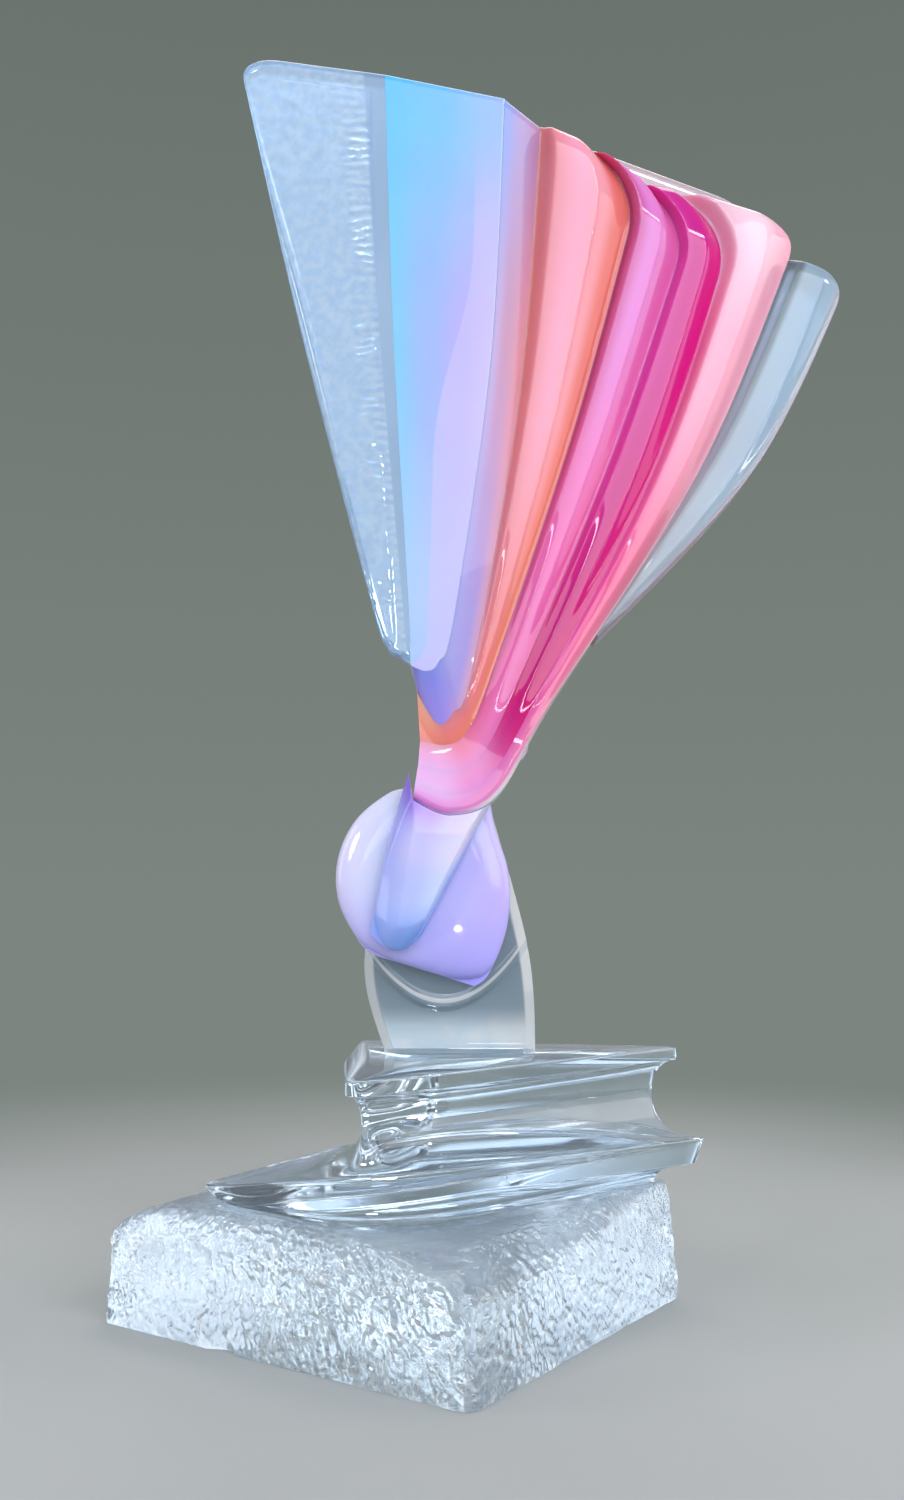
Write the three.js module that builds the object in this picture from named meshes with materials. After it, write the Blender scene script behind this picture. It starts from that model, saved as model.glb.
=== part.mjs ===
// Acrylic fan sculpture: coloured and clear layers bonded into a fluted fan, a lavender disc and a clear stem
// on a carved clear base. Millimetres, +Z up, +X to the right and +Y away from the viewer.
// The origin is the centre of the base's underside.
import * as THREE from 'three';

// Cement line left between two bonded faces
const BOND = 0.3;

// Rough foot block: a near-square slab with vertical sides and a sloping shoulder
const FOOT_LENGTH = 197;
const FOOT_WIDTH = 181;
const FOOT_TURN = 56;
const FOOT_SIDE_HEIGHT = 34;
const FOOT_HEIGHT = 53;
const FOOT_DRAFT = 2;
const FOOT_CORNER_ROUND = 7;
const SHOULDER_MARGIN = 4;

// Polished swept tier: an undercut, a thin ledge that runs out to a tab, and a cove up to the top plate
const TIER_HEIGHT = 39;
const LEDGE_LEFT = [-92, -30];
const LEDGE_FRONT = [-4, -97];
const LEDGE_RIGHT = [151, 25];
const LEDGE_BACK = [-18, 96];
const LEDGE_LEFT_RISE = 2;
const LEDGE_FRONT_RISE = 7;
const LEDGE_RIGHT_RISE = 8;
const LEDGE_BACK_RISE = 2;
const LEDGE_THICKNESS = 5;
const LEDGE_FRONT_THICKNESS = 17;
const TAB_THICKNESS = 11;
const LEDGE_LEFT_ROUND = 20;
const LEDGE_FRONT_ROUND = 50;
const LEDGE_RIGHT_ROUND = 14;
const LEDGE_BACK_ROUND = 40;
const LEDGE_LEAN = 4;
const UNDERCUT = 9;
const TAB_OVERHANG = 25;

// Top plate: a thin lip of three corners over a cove
const PLATE_HEIGHT = 20;
const PLATE_LEFT = [-26, -8];
const PLATE_FRONT = [-19, -88];
const PLATE_RIGHT = [141, 50];
const PLATE_BACK = [-24, 84];
const PLATE_LIP = 6;
const PLATE_EDGE = 1.5;
const PLATE_ROUND = 10;
const COVE_DEPTH = 14;
const COVE_HOLLOW = 1.5;

// Clear stem between the top plate and the waist
const STEM_HEIGHT = 115;
const STEM_FOOT_WIDTH = 72;
const STEM_FOOT_X = 28;
const STEM_BELLY_LEFT = 46;
const STEM_BELLY_RIGHT = 33;
const STEM_BELLY_HEIGHT = 48;
const STEM_FOOT_DEPTH = 38;
const STEM_WAIST_DEPTH = 24;
const STEM_EDGE = 5;

// Waist: the saddle where the fan sits on the stem, the disc and the root wedge
const WAIST_X = 22;
const NECK_FRONT = -24;
const NECK_BACK = 4;
const NECK_EDGE = 5;

// Root wedge and disc, bonded in front of the stem
const WEDGE_THICKNESS = 14;
const WEDGE_LENGTH = 65;
const WEDGE_TIP_X = -23.5;
const WEDGE_TIP_WIDTH = 24;
const WEDGE_TIP_DEPTH = 8;
const WEDGE_BELLY = [-29.5, -22];
const WEDGE_PEAK = [-18.5, 17.5];
const WEDGE_EDGE = 8;
const DISC_THICKNESS = 16;
const DISC_EDGE = 7;
const DISC_CUT_LEFT = [-35, -67.5];
const DISC_CUT_RIGHT = [12.5, -82];
const DISC_PEAK = [-17.3, 11];
const DISC_LEFT = { centre: [-8, -31.5], radius: 45, from: 220, to: 116 };
const DISC_RIGHT = { centre: [-41.5, -39.5], radius: 71, from: -32, to: 25 };

// Fan: the flat facet on the left leans forward, and the flat back sweeps away to the right
const FAN_RISE = 330;
const FACET_NECK_FRONT = -30;
const FACET_TOP_FRONT = -42;
const BACK_SLOPE = 0.2;
const TOP_EDGE = 4;
const FACET_EDGE = 4;
const CLEAR_THICKNESS = 13;

// Clear backing sheet behind the coloured layers
const BACKING_THICKNESS = 14;
const BACKING_EDGE = 5;
const BACKING_CORNER = 12;

// Seams between the layers, from left to right, measured from the waist. Each starts at its end on the neck's
// left edge, hooks through its low point, turns upward, and runs with a small bow to its top. Lean is the angle
// of the top from the vertical in degrees, reach its distance from the waist, and front the depth of the carved
// face at the top. A seam with a crook bends over short of its top, and ends there.
const SEAMS = {
  leftEdge: {
    end: [-17.5, 66.5], low: [-22, 70], turn: [-36, 97],
    lean: -15.6, reach: 372, bow: -2,
  },
  clearBlue: {
    end: [-17.2, 66.2], low: [-17.3, 72], turn: [-18, 92],
    lean: -4.9, reach: 350, bow: -1.5,
  },
  blueLavender: {
    end: [-16.5, 65], low: [-9.5, 62.5], turn: [3, 87],
    lean: 4.6, reach: 338, bow: 5.5,
  },
  lavenderCoral: {
    end: [-14.2, 54], low: [-5, 39.5], turn: [11.5, 66],
    lean: 7.7, reach: 338, bow: 6, front: -22,
  },
  coralOrchid: {
    end: [-12.8, 31.5], low: [-1, 29.5], turn: [20, 62],
    lean: 17.1, reach: 325, bow: 3.5, front: -8, crook: [69.5, 330.5],
  },
  orchidMagenta: {
    end: [-13.6, 20.5], low: [1, 17], turn: [31.5, 56.5],
    lean: 22.3, reach: 321, bow: 4, front: 3, crook: [95, 316.5],
  },
  magentaRose: {
    end: [-15, 12], low: [1.5, 6.5], turn: [38.5, 46.5],
    lean: 26, reach: 331, bow: 10, front: 12, crook: [113.5, 318],
  },
  roseClear: {
    end: [-16, 4], low: [2, -3], turn: [50.5, 52.5],
    lean: 31, reach: 354, bow: 11, front: 23,
  },
};
const HEEL_ACROSS = 0.45;
const HEEL_UP = 0.18;

// Free right edge of the last clear layer, in the same terms but with no hook
const RIGHT_EDGE = { end: [71.9, 82.3], lean: 36.6, reach: 350, bow: 16, front: 29 };

// Rounded upper corners of the blades, and how far each ridge stands forward of its seams
const CLEAR_CORNER = 21;
const ROSE_CORNER = 28;
const RIGHT_CORNER = 30;
const CORAL_CROWN = 9;
const ORCHID_CROWN = 9;
const MAGENTA_CROWN = 8;
const ROSE_CROWN = 11;
const RIGHT_CROWN = 5;

// Flanks of a ridge as shares of its blade's width, the shares of the rise below which the neck is smooth and
// above which the crest is flat, and the length over which the ridge runs out at the top
const RIDGE_LEFT_FLANK = 0.2;
const RIDGE_RIGHT_FLANK = 0.4;
const RIDGE_FROM = 0.13;
const RIDGE_FLAT_FROM = 0.6;
const RIDGE_RUN_OUT = 14;

// How many steps of the rose blade's rise lie below the right clear blade
const RIGHT_BLADE_SKIPS = 2;

// Backing sheet's own edges, in the same terms as the seams
const BACKING_LEFT = { end: [-13, 8], low: [-9, 30], turn: [6, 66], lean: 11, reach: 356, bow: 6 };
const BACKING_RIGHT = { end: [20, 8], low: [29, 25], turn: [49, 57], lean: 27.5, reach: 364, bow: 9 };

// Shares of a seam's parameter: where its hook ends and its crook starts, and the waist saddle on the last seam
const HOOK_SHARE = 0.6;
const CROOK_FROM = 0.94;
const SADDLE_SHARE = 0.37;

// How sharply the rows of a blade turn into its rounded upper corner
const CORNER_EASE = 3;

// Colours and finish
const CLEAR = 0xd6e4ee;
const FROSTED = 0xdce8f0;
const BLUE = 0x7cc8ff;
const LAVENDER = 0xcdbdf7;
const DEEP_LAVENDER = 0xb9adfa;
const CORAL = 0xf08a80;
const ORCHID = 0xe98ae0;
const MAGENTA = 0xe0289a;
const ROSE = 0xf4a6be;
const CLEAR_OPACITY = 0.35;
const FROSTED_OPACITY = 0.7;
const WEDGE_OPACITY = 0.6;
const POLISH_ROUGHNESS = 0.06;
const FROSTED_ROUGHNESS = 0.5;

// Mesh steps
const HOOK_STEPS = 7;
const RISE_STEPS = 11;
const CROOK_STEPS = 5;
const ACROSS_STEPS = 10;
const BODY_STEPS = 14;
const SIDE_STEPS = 8;
const CORNER_STEPS = 7;
const COVE_STEPS = 5;
const SHOULDER_STEPS = 4;
const ARC_STEPS = 5;

// Levels and depths worked out from the sizes above
const tierBottom = FOOT_HEIGHT + BOND;
const tierTop = tierBottom + TIER_HEIGHT;
const plateBottom = tierTop + BOND;
const plateTop = plateBottom + PLATE_HEIGHT;
const stemBottom = plateTop + BOND;
const waistZ = stemBottom + STEM_HEIGHT;
const wedgeBack = NECK_FRONT + WEDGE_THICKNESS;
const discFront = wedgeBack + BOND;
const discBack = discFront + DISC_THICKNESS;
const stemFront = discBack + BOND;

const lerp = THREE.MathUtils.lerp;
const clamp01 = (value) => THREE.MathUtils.clamp(value, 0, 1);
const point = ([x, z]) => new THREE.Vector2(WAIST_X + x, waistZ + z);
const mix = (a, b, share) => a.clone().lerp(b, share);

// A rising curve whose upper end bends over to another end
class CrookedCurve extends THREE.Curve {
  constructor(rise, end) {
    super();
    this.rise = rise;
    this.points = rise.points;
    this.bend = new THREE.QuadraticBezierCurve(rise.getPoint(CROOK_FROM), rise.getPoint(1), end);
  }

  getPoint(t) {
    if (t <= CROOK_FROM) return this.rise.getPoint(t);
    return this.bend.getPoint((t - CROOK_FROM) / (1 - CROOK_FROM));
  }
}

// The upper points of a seam in the front view, as x and z: from a start through a bowed middle to its top
function risePoints(start, { lean, reach, bow }) {
  const angle = THREE.MathUtils.degToRad(lean);
  const top = [reach * Math.sin(angle), reach * Math.cos(angle)];
  const run = Math.hypot(top[0] - start[0], top[1] - start[1]);
  const middle = [
    (start[0] + top[0]) / 2 + (bow * (top[1] - start[1])) / run,
    (start[1] + top[1]) / 2 - (bow * (top[0] - start[0])) / run,
  ];
  return [start, middle, top];
}

// A seam's curve, with its hook and its crook
function seamCurve(seam) {
  const { end, low, turn, crook } = seam;
  const heel = [lerp(low[0], turn[0], HEEL_ACROSS), lerp(low[1], turn[1], HEEL_UP)];
  const rise = new THREE.SplineCurve([end, low, heel, ...risePoints(turn, seam)].map(point));
  return crook ? new CrookedCurve(rise, point(crook)) : rise;
}

const seams = {};
for (const [name, seam] of Object.entries(SEAMS)) {
  seams[name] = { ...seam, curve: seamCurve(seam) };
}

// A point of a curve moved to its right-hand side by a gap
function beside(curve, t, gap) {
  const tangent = curve.getTangent(t);
  return curve.getPoint(t).add(new THREE.Vector2(tangent.y, -tangent.x).multiplyScalar(gap));
}

// The share of a seam's parameter that a rounded corner takes off its upper end
function cutBack(curve, corner) {
  const ends = curve.points;
  const lastRun = ends[ends.length - 1].distanceTo(ends[ends.length - 2]);
  return corner / lastRun / (ends.length - 1);
}

// Stations along a seam: its hook keeps its own, and only the upper rise is drawn back by a rounded corner
const along = [];
for (let i = 0; i < HOOK_STEPS; i += 1) along.push((HOOK_SHARE * i) / HOOK_STEPS);
for (let i = 0; i < RISE_STEPS; i += 1) along.push(lerp(HOOK_SHARE, CROOK_FROM, i / RISE_STEPS));
for (let i = 0; i <= CROOK_STEPS; i += 1) along.push(lerp(CROOK_FROM, 1, i / CROOK_STEPS));
const drawnBack = (t, drop) => t - drop * clamp01((t - HOOK_SHARE) / (1 - HOOK_SHARE)) ** CORNER_EASE;

// Steps that crowd towards both ends, where edges are rounded
function crowded(steps) {
  return Array.from({ length: steps + 1 }, (_, i) => (1 - Math.cos((Math.PI * i) / steps)) / 2);
}

// A patch over four edges in the front view: ruled from side to side, and drawn to a shaped edge at either end
function coons({ left, right, bottom, top }) {
  const toEdge = (edge, s, t) => (edge ? edge(s).sub(mix(left(t), right(t), s)) : new THREE.Vector2());
  return (s, t) => {
    const place = mix(left(t), right(t), s);
    place.addScaledVector(toEdge(bottom, s, 0), (1 - t) ** 2);
    return place.addScaledVector(toEdge(top, s, 1), t ** 2);
  };
}

// A closed solid over a patch in the front view, between a front and a back depth, with the free edges rounded
function panel({ patch, front, back, edge = 0, free = [], backFree = free, rows, columns }) {
  const roll = (gaps, names) => {
    let square = 0;
    for (const name of names) square += Math.max(0, 1 - gaps[name] / edge) ** 2;
    return edge * (1 - Math.sqrt(Math.max(0, 1 - square)));
  };
  const faces = [[], []];
  for (const t of rows) {
    for (const s of columns) {
      const place = patch(s, t);
      const gaps = {
        left: place.distanceTo(patch(0, t)),
        right: place.distanceTo(patch(1, t)),
        bottom: place.distanceTo(patch(s, 0)),
        top: place.distanceTo(patch(s, 1)),
      };
      faces[0].push([place.x, front(place, s, gaps.top) + roll(gaps, free), place.y]);
      faces[1].push([place.x, back(place, s, t) - roll(gaps, backFree), place.y]);
    }
  }
  const wide = columns.length;
  const tall = rows.length;
  const behind = wide * tall;
  const triangles = [];
  const quad = (a, b, c, d) => triangles.push(a, b, c, a, c, d);
  for (let i = 0; i + 1 < tall; i += 1) {
    for (let j = 0; j + 1 < wide; j += 1) {
      const at = i * wide + j;
      quad(at, at + 1, at + wide + 1, at + wide);
      quad(behind + at, behind + at + wide, behind + at + wide + 1, behind + at + 1);
    }
  }
  const rim = [];
  for (let j = 0; j + 1 < wide; j += 1) rim.push(j);
  for (let i = 0; i + 1 < tall; i += 1) rim.push(i * wide + wide - 1);
  for (let j = wide - 1; j > 0; j -= 1) rim.push((tall - 1) * wide + j);
  for (let i = tall - 1; i > 0; i -= 1) rim.push(i * wide);
  rim.forEach((at, k) => {
    const next = rim[(k + 1) % rim.length];
    quad(at, behind + at, behind + next, next);
  });
  return solid([...faces[0], ...faces[1]], triangles);
}

function solid(vertices, triangles) {
  const geometry = new THREE.BufferGeometry();
  geometry.setAttribute('position', new THREE.Float32BufferAttribute(vertices.flat(), 3));
  geometry.setIndex(triangles);
  geometry.computeVertexNormals();
  return geometry;
}

// Depths of the fan's faces at a place in the front view
const riseOf = (place) => clamp01((place.y - waistZ) / FAN_RISE);
const backAt = (place) => NECK_BACK + BACK_SLOPE * (place.x - WAIST_X);
const carvedAt = (seam, place) => lerp(NECK_FRONT, seam.front, riseOf(place));
const facetTipZ = waistZ + SEAMS.blueLavender.low[1];
const facetSlope = (FACET_TOP_FRONT - FACET_NECK_FRONT) / (FAN_RISE - SEAMS.blueLavender.low[1]);
const facetAt = (place) => FACET_NECK_FRONT + facetSlope * (place.y - facetTipZ);
const frontOf = (seam, place) => (seam.front === undefined ? facetAt(place) : carvedAt(seam, place));

// How far a ridge stands forward: round above the smooth neck, flat-crested high up, and run out below the top
function ridge(s, rise, crown, belowTop) {
  const { smoothstep } = THREE.MathUtils;
  const flat = smoothstep(s, 0, RIDGE_LEFT_FLANK) * (1 - smoothstep(s, 1 - RIDGE_RIGHT_FLANK, 1));
  const across = lerp(Math.sin(Math.PI * s) ** 2, flat, smoothstep(rise, 0, RIDGE_FLAT_FROM));
  const runOut = Math.sqrt(1 - clamp01(1 - belowTop / RIDGE_RUN_OUT) ** 2);
  return crown * clamp01((rise - RIDGE_FROM) / (1 - RIDGE_FROM)) * across * runOut;
}

// How far a column of a blade is drawn back from the seams' tops, along a quarter ellipse into a round corner
function roundTop(leftCurve, rightCurve, leftCorner, rightCorner) {
  const width = leftCurve.getPoint(1).distanceTo(rightCurve.getPoint(1));
  const drop = (curve, corner, nearness) => {
    const share = clamp01(1 - nearness * (width / Math.max(corner, BOND)));
    return cutBack(curve, corner) * (1 - Math.sqrt(1 - share * share));
  };
  return (s) => drop(leftCurve, leftCorner, s) + drop(rightCurve, rightCorner, 1 - s);
}

// One layer of the fan between two neighbouring seams, with a ridge on its face and a round upper corner
function blade(leftSeam, rightSeam, options) {
  const { crown = 0, leftCorner = 0, rightCorner = 0, back = backAt, edge, free, backFree } = options;
  const drop = roundTop(leftSeam.curve, rightSeam.curve, leftCorner, rightCorner);
  const patch = (s, t) => {
    const station = drawnBack(t, drop(s));
    return mix(beside(leftSeam.curve, station, BOND / 2), beside(rightSeam.curve, station, -BOND / 2), s);
  };
  const front = (place, s, belowTop) => {
    const stand = crown === 0 ? 0 : ridge(s, riseOf(place), crown, belowTop);
    return lerp(frontOf(leftSeam, place), frontOf(rightSeam, place), s) - stand;
  };
  return panel({
    patch,
    front,
    back,
    edge,
    free,
    backFree,
    rows: along,
    columns: crowded(ACROSS_STEPS),
  });
}

// The right clear blade starts partway up the rose blade's seam, and ends with it
function rightBlade() {
  const inner = seams.roseClear;
  const outer = new THREE.SplineCurve(risePoints(RIGHT_EDGE.end, RIGHT_EDGE).map(point));
  const stations = along.slice(HOOK_STEPS + RIGHT_BLADE_SKIPS);
  const first = stations[0];
  const innerDrop = cutBack(inner.curve, ROSE_CORNER);
  const drop = roundTop(inner.curve, outer, 0, RIGHT_CORNER);
  const patch = (s, t) => {
    const reached = drawnBack(lerp(first, 1, t), drop(s) * (1 - first));
    const innerPlace = beside(inner.curve, drawnBack(reached, innerDrop), BOND / 2);
    const outerPlace = outer.getPoint(clamp01((reached - first) / (1 - first)));
    return mix(innerPlace, outerPlace, s);
  };
  return panel({
    patch,
    front: (place, s, belowTop) => {
      const stand = ridge(s, riseOf(place), RIGHT_CROWN, belowTop);
      return lerp(carvedAt(inner, place), carvedAt(RIGHT_EDGE, place), s) - stand;
    },
    back: backAt,
    edge: FACET_EDGE,
    free: ['right', 'top'],
    rows: stations.map((station) => (station - first) / (1 - first)),
    columns: crowded(ACROSS_STEPS),
  });
}

// Clear sheet that backs the coloured layers from the waist to above their tops
function backing() {
  const leftCurve = seamCurve(BACKING_LEFT);
  const rightCurve = seamCurve(BACKING_RIGHT);
  const drop = roundTop(leftCurve, rightCurve, BACKING_CORNER, ROSE_CORNER);
  const sheet = coons({
    left: (t) => leftCurve.getPoint(t),
    right: (t) => rightCurve.getPoint(t),
    bottom: (s) => seams.roseClear.curve.getPoint(SADDLE_SHARE * s),
  });
  return panel({
    patch: (s, t) => sheet(s, drawnBack(t, drop(s))),
    front: (place) => backAt(place) + BOND,
    back: (place) => backAt(place) + BOND + BACKING_THICKNESS,
    edge: BACKING_EDGE,
    free: ['top', 'right'],
    backFree: ['left', 'right', 'top'],
    rows: along,
    columns: crowded(ACROSS_STEPS),
  });
}

// The saddle of the waist, under the outermost layer, where the stem, disc and wedge meet the fan
const saddle = (s) => beside(seams.roseClear.curve, SADDLE_SHARE * s, BOND);

function spline(points) {
  const curve = new THREE.SplineCurve(points);
  return (t) => curve.getPoint(t);
}

function stem() {
  const footLeft = new THREE.Vector2(STEM_FOOT_X - STEM_FOOT_WIDTH / 2, stemBottom);
  const footRight = new THREE.Vector2(STEM_FOOT_X + STEM_FOOT_WIDTH / 2, stemBottom);
  const bellyZ = stemBottom + STEM_BELLY_HEIGHT;
  const patch = coons({
    left: spline([footLeft, new THREE.Vector2(STEM_FOOT_X - STEM_BELLY_LEFT, bellyZ), saddle(0)]),
    right: spline([footRight, new THREE.Vector2(STEM_FOOT_X + STEM_BELLY_RIGHT, bellyZ), saddle(1)]),
    top: saddle,
  });
  return panel({
    patch,
    front: () => stemFront,
    back: (place, s, t) => stemFront + lerp(STEM_FOOT_DEPTH, STEM_WAIST_DEPTH, t),
    edge: STEM_EDGE,
    free: ['left', 'right'],
    rows: crowded(BODY_STEPS),
    columns: crowded(ACROSS_STEPS),
  });
}

// The saddle with a peak that climbs beside the neck at its left end
function peakedSaddle(peak, columns) {
  const first = columns[1];
  return (s) => (s < first ? mix(point(peak), saddle(0), s / first) : saddle((s - first) / (1 - first)));
}

// Points of one side of the disc's round outline, between two angles in degrees counted from the right
function discArc({ centre, radius, from, to }) {
  return Array.from({ length: ARC_STEPS }, (_, i) => {
    const angle = THREE.MathUtils.degToRad(lerp(from, to, i / (ARC_STEPS - 1)));
    return point(centre).add(new THREE.Vector2(radius * Math.cos(angle), radius * Math.sin(angle)));
  });
}

// Lavender disc: round, with a straight cut below that ends in a point
function disc() {
  const columns = crowded(ACROSS_STEPS);
  const top = peakedSaddle(DISC_PEAK, columns);
  const patch = coons({
    left: spline([point(DISC_CUT_LEFT), ...discArc(DISC_LEFT), top(0)]),
    right: spline([point(DISC_CUT_RIGHT), ...discArc(DISC_RIGHT), top(1)]),
    top,
  });
  return panel({
    patch,
    front: () => discFront,
    back: () => discBack,
    edge: DISC_EDGE,
    free: ['left', 'right', 'bottom'],
    rows: crowded(BODY_STEPS),
    columns,
  });
}

// Root wedge: a tapered tongue that carries the fan down over the disc
function wedge() {
  const columns = crowded(ACROSS_STEPS);
  const top = peakedSaddle(WEDGE_PEAK, columns);
  const tipZ = -WEDGE_LENGTH;
  const tipLeft = point([WEDGE_TIP_X - WEDGE_TIP_WIDTH / 2, tipZ + WEDGE_TIP_DEPTH]);
  const tipRight = point([WEDGE_TIP_X + WEDGE_TIP_WIDTH / 2, tipZ + WEDGE_TIP_DEPTH]);
  const tip = new THREE.QuadraticBezierCurve(tipLeft, point([WEDGE_TIP_X, tipZ - WEDGE_TIP_DEPTH]), tipRight);
  const patch = coons({
    left: spline([tipLeft, point(WEDGE_BELLY), top(0)]),
    right: (t) => mix(tipRight, top(1), t),
    bottom: (s) => tip.getPoint(s),
    top,
  });
  return panel({
    patch,
    front: () => NECK_FRONT,
    back: () => wedgeBack,
    edge: WEDGE_EDGE,
    free: ['left', 'right', 'bottom'],
    backFree: [],
    rows: crowded(BODY_STEPS),
    columns,
  });
}

// A ring of points round four corners, given as x, y and z, with a rounding for each corner
function ring(places, rounds) {
  const points = [];
  const toward = (place, other, round) => place.clone().lerp(other, round / place.distanceTo(other));
  places.forEach((place, k) => {
    const next = (k + 1) % places.length;
    const before = places[(k + places.length - 1) % places.length];
    const stop = toward(place, places[next], rounds[k]);
    const bend = new THREE.QuadraticBezierCurve3(toward(place, before, rounds[k]), place, stop);
    for (let i = 0; i <= CORNER_STEPS; i += 1) points.push(bend.getPoint(i / CORNER_STEPS));
    const nextStart = toward(places[next], place, rounds[next]);
    for (let i = 1; i < SIDE_STEPS; i += 1) points.push(stop.clone().lerp(nextStart, i / SIDE_STEPS));
  });
  return points;
}

// A closed solid of stacked rings with a flat cap at each end
function tower(rings) {
  const count = rings[0].length;
  const vertices = rings.flat().map((place) => place.toArray());
  const triangles = [];
  for (let i = 0; i + 1 < rings.length; i += 1) {
    for (let k = 0; k < count; k += 1) {
      const next = (k + 1) % count;
      const a = i * count + k;
      const b = i * count + next;
      triangles.push(a, b, b + count, a, b + count, a + count);
    }
  }
  [0, rings.length - 1].forEach((level) => {
    const middle = rings[level].reduce((sum, place) => sum.add(place), new THREE.Vector3()).divideScalar(count);
    vertices.push(middle.toArray());
    for (let k = 0; k < count; k += 1) {
      const a = level * count + k;
      const b = level * count + ((k + 1) % count);
      if (level === 0) triangles.push(b, a, vertices.length - 1);
      else triangles.push(a, b, vertices.length - 1);
    }
  });
  return solid(vertices, triangles);
}

// Four corners of a tier, moved outward from their middle by a margin; height and margin are shared or one each
function corners(places, heights, margins = 0) {
  const own = (values, k) => (Array.isArray(values) ? values[k] : values);
  const middle = new THREE.Vector2();
  for (const [x, y] of places) middle.add(new THREE.Vector2(x, y).divideScalar(places.length));
  return places.map(([x, y], k) => {
    const out = new THREE.Vector2(x, y).sub(middle);
    out.setLength(out.length() + own(margins, k)).add(middle);
    return new THREE.Vector3(out.x, out.y, own(heights, k));
  });
}

function footCorners() {
  const turn = THREE.MathUtils.degToRad(FOOT_TURN);
  const across = new THREE.Vector2(Math.cos(turn), Math.sin(turn)).multiplyScalar(FOOT_WIDTH / 2);
  const lengthwise = new THREE.Vector2(-Math.sin(turn), Math.cos(turn)).multiplyScalar(FOOT_LENGTH / 2);
  const signs = [[-1, 1], [-1, -1], [1, -1], [1, 1]];
  return signs.map(([a, b]) => [a * across.x + b * lengthwise.x, a * across.y + b * lengthwise.y]);
}

const ledgePlaces = [LEDGE_LEFT, LEDGE_FRONT, LEDGE_RIGHT, LEDGE_BACK];
const ledgeRises = [LEDGE_LEFT_RISE, LEDGE_FRONT_RISE, LEDGE_RIGHT_RISE, LEDGE_BACK_RISE];
const ledgeThickness = [LEDGE_THICKNESS, LEDGE_FRONT_THICKNESS, TAB_THICKNESS, LEDGE_THICKNESS];
const ledgeUndercut = [-UNDERCUT, -UNDERCUT, -TAB_OVERHANG, -UNDERCUT];
const ledgeRounds = [LEDGE_LEFT_ROUND, LEDGE_FRONT_ROUND, LEDGE_RIGHT_ROUND, LEDGE_BACK_ROUND];
const platePlaces = [PLATE_LEFT, PLATE_FRONT, PLATE_RIGHT, PLATE_BACK];
const plateRounds = platePlaces.map(() => PLATE_ROUND);
const footRounds = platePlaces.map(() => FOOT_CORNER_ROUND);

// Rings between two rings, along a quarter turn: inward and up are powers of its sine and versine
function sweep(from, to, steps, turnOf) {
  return Array.from({ length: steps }, (_, i) => {
    const [aside, up] = turnOf((Math.PI / 2) * ((i + 1) / steps));
    return from.map((place, k) => new THREE.Vector3(
      lerp(place.x, to[k].x, aside),
      lerp(place.y, to[k].y, aside),
      lerp(place.z, to[k].z, up),
    ));
  });
}

const hollow = (angle) => [Math.sin(angle), (1 - Math.cos(angle)) ** COVE_HOLLOW];
const flare = (angle) => [1 - Math.cos(angle), Math.sin(angle)];

// Foot block: vertical sides, then a shoulder that rounds over and rises to the swept tier
function footBlock() {
  const places = footCorners();
  const shoulderMargins = ledgeUndercut.map((undercut) => undercut + SHOULDER_MARGIN);
  const side = ring(corners(places, FOOT_SIDE_HEIGHT, -FOOT_DRAFT), footRounds);
  const shoulder = ring(corners(ledgePlaces, FOOT_HEIGHT, shoulderMargins), ledgeRounds);
  return tower([
    ring(corners(places, 0), footRounds),
    side,
    ...sweep(side, shoulder, SHOULDER_STEPS, flare),
  ]);
}

// Swept tier: an undercut, a leaning face that thins to the left, a crisp edge and a cove
function sweptTier() {
  const rises = ledgeRises.map((rise) => tierBottom + rise);
  const foot = ring(corners(ledgePlaces, tierBottom, ledgeUndercut), ledgeRounds);
  const under = ring(corners(ledgePlaces, rises, -LEDGE_LEAN), ledgeRounds);
  const ledge = ring(corners(ledgePlaces, rises.map((z, k) => z + ledgeThickness[k])), ledgeRounds);
  const neck = ring(corners(platePlaces, tierTop, -COVE_DEPTH), plateRounds);
  return tower([
    foot,
    ...sweep(foot, under, COVE_STEPS, flare),
    ledge,
    ...sweep(ledge, neck, COVE_STEPS, hollow),
  ]);
}

// Top plate: a cove that flares into a thin lip with a fine bevel
function topPlate() {
  const neck = ring(corners(platePlaces, plateBottom, -COVE_DEPTH), plateRounds);
  const lip = ring(corners(platePlaces, plateTop - PLATE_LIP), plateRounds);
  return tower([
    neck,
    ...sweep(neck, lip, COVE_STEPS, flare),
    ring(corners(platePlaces, plateTop - PLATE_EDGE), plateRounds),
    ring(corners(platePlaces, plateTop, -PLATE_EDGE), plateRounds),
  ]);
}

function piece(name, geometry, color, opacity = 1, roughness = POLISH_ROUGHNESS) {
  const material = new THREE.MeshStandardMaterial({ color, roughness, metalness: 0 });
  material.transparent = opacity < 1;
  material.opacity = opacity;
  const mesh = new THREE.Mesh(geometry, material);
  mesh.name = name;
  return mesh;
}

const base = new THREE.Group();
base.add(piece('foot_block', footBlock(), FROSTED, FROSTED_OPACITY, FROSTED_ROUGHNESS));
base.add(piece('swept_tier', sweptTier(), CLEAR, CLEAR_OPACITY));
base.add(piece('top_plate', topPlate(), CLEAR, CLEAR_OPACITY));

const support = new THREE.Group();
support.add(piece('stem', stem(), CLEAR, CLEAR_OPACITY));
support.add(piece('lavender_disc', disc(), DEEP_LAVENDER));
support.add(piece('root_wedge', wedge(), LAVENDER, WEDGE_OPACITY));

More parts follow.
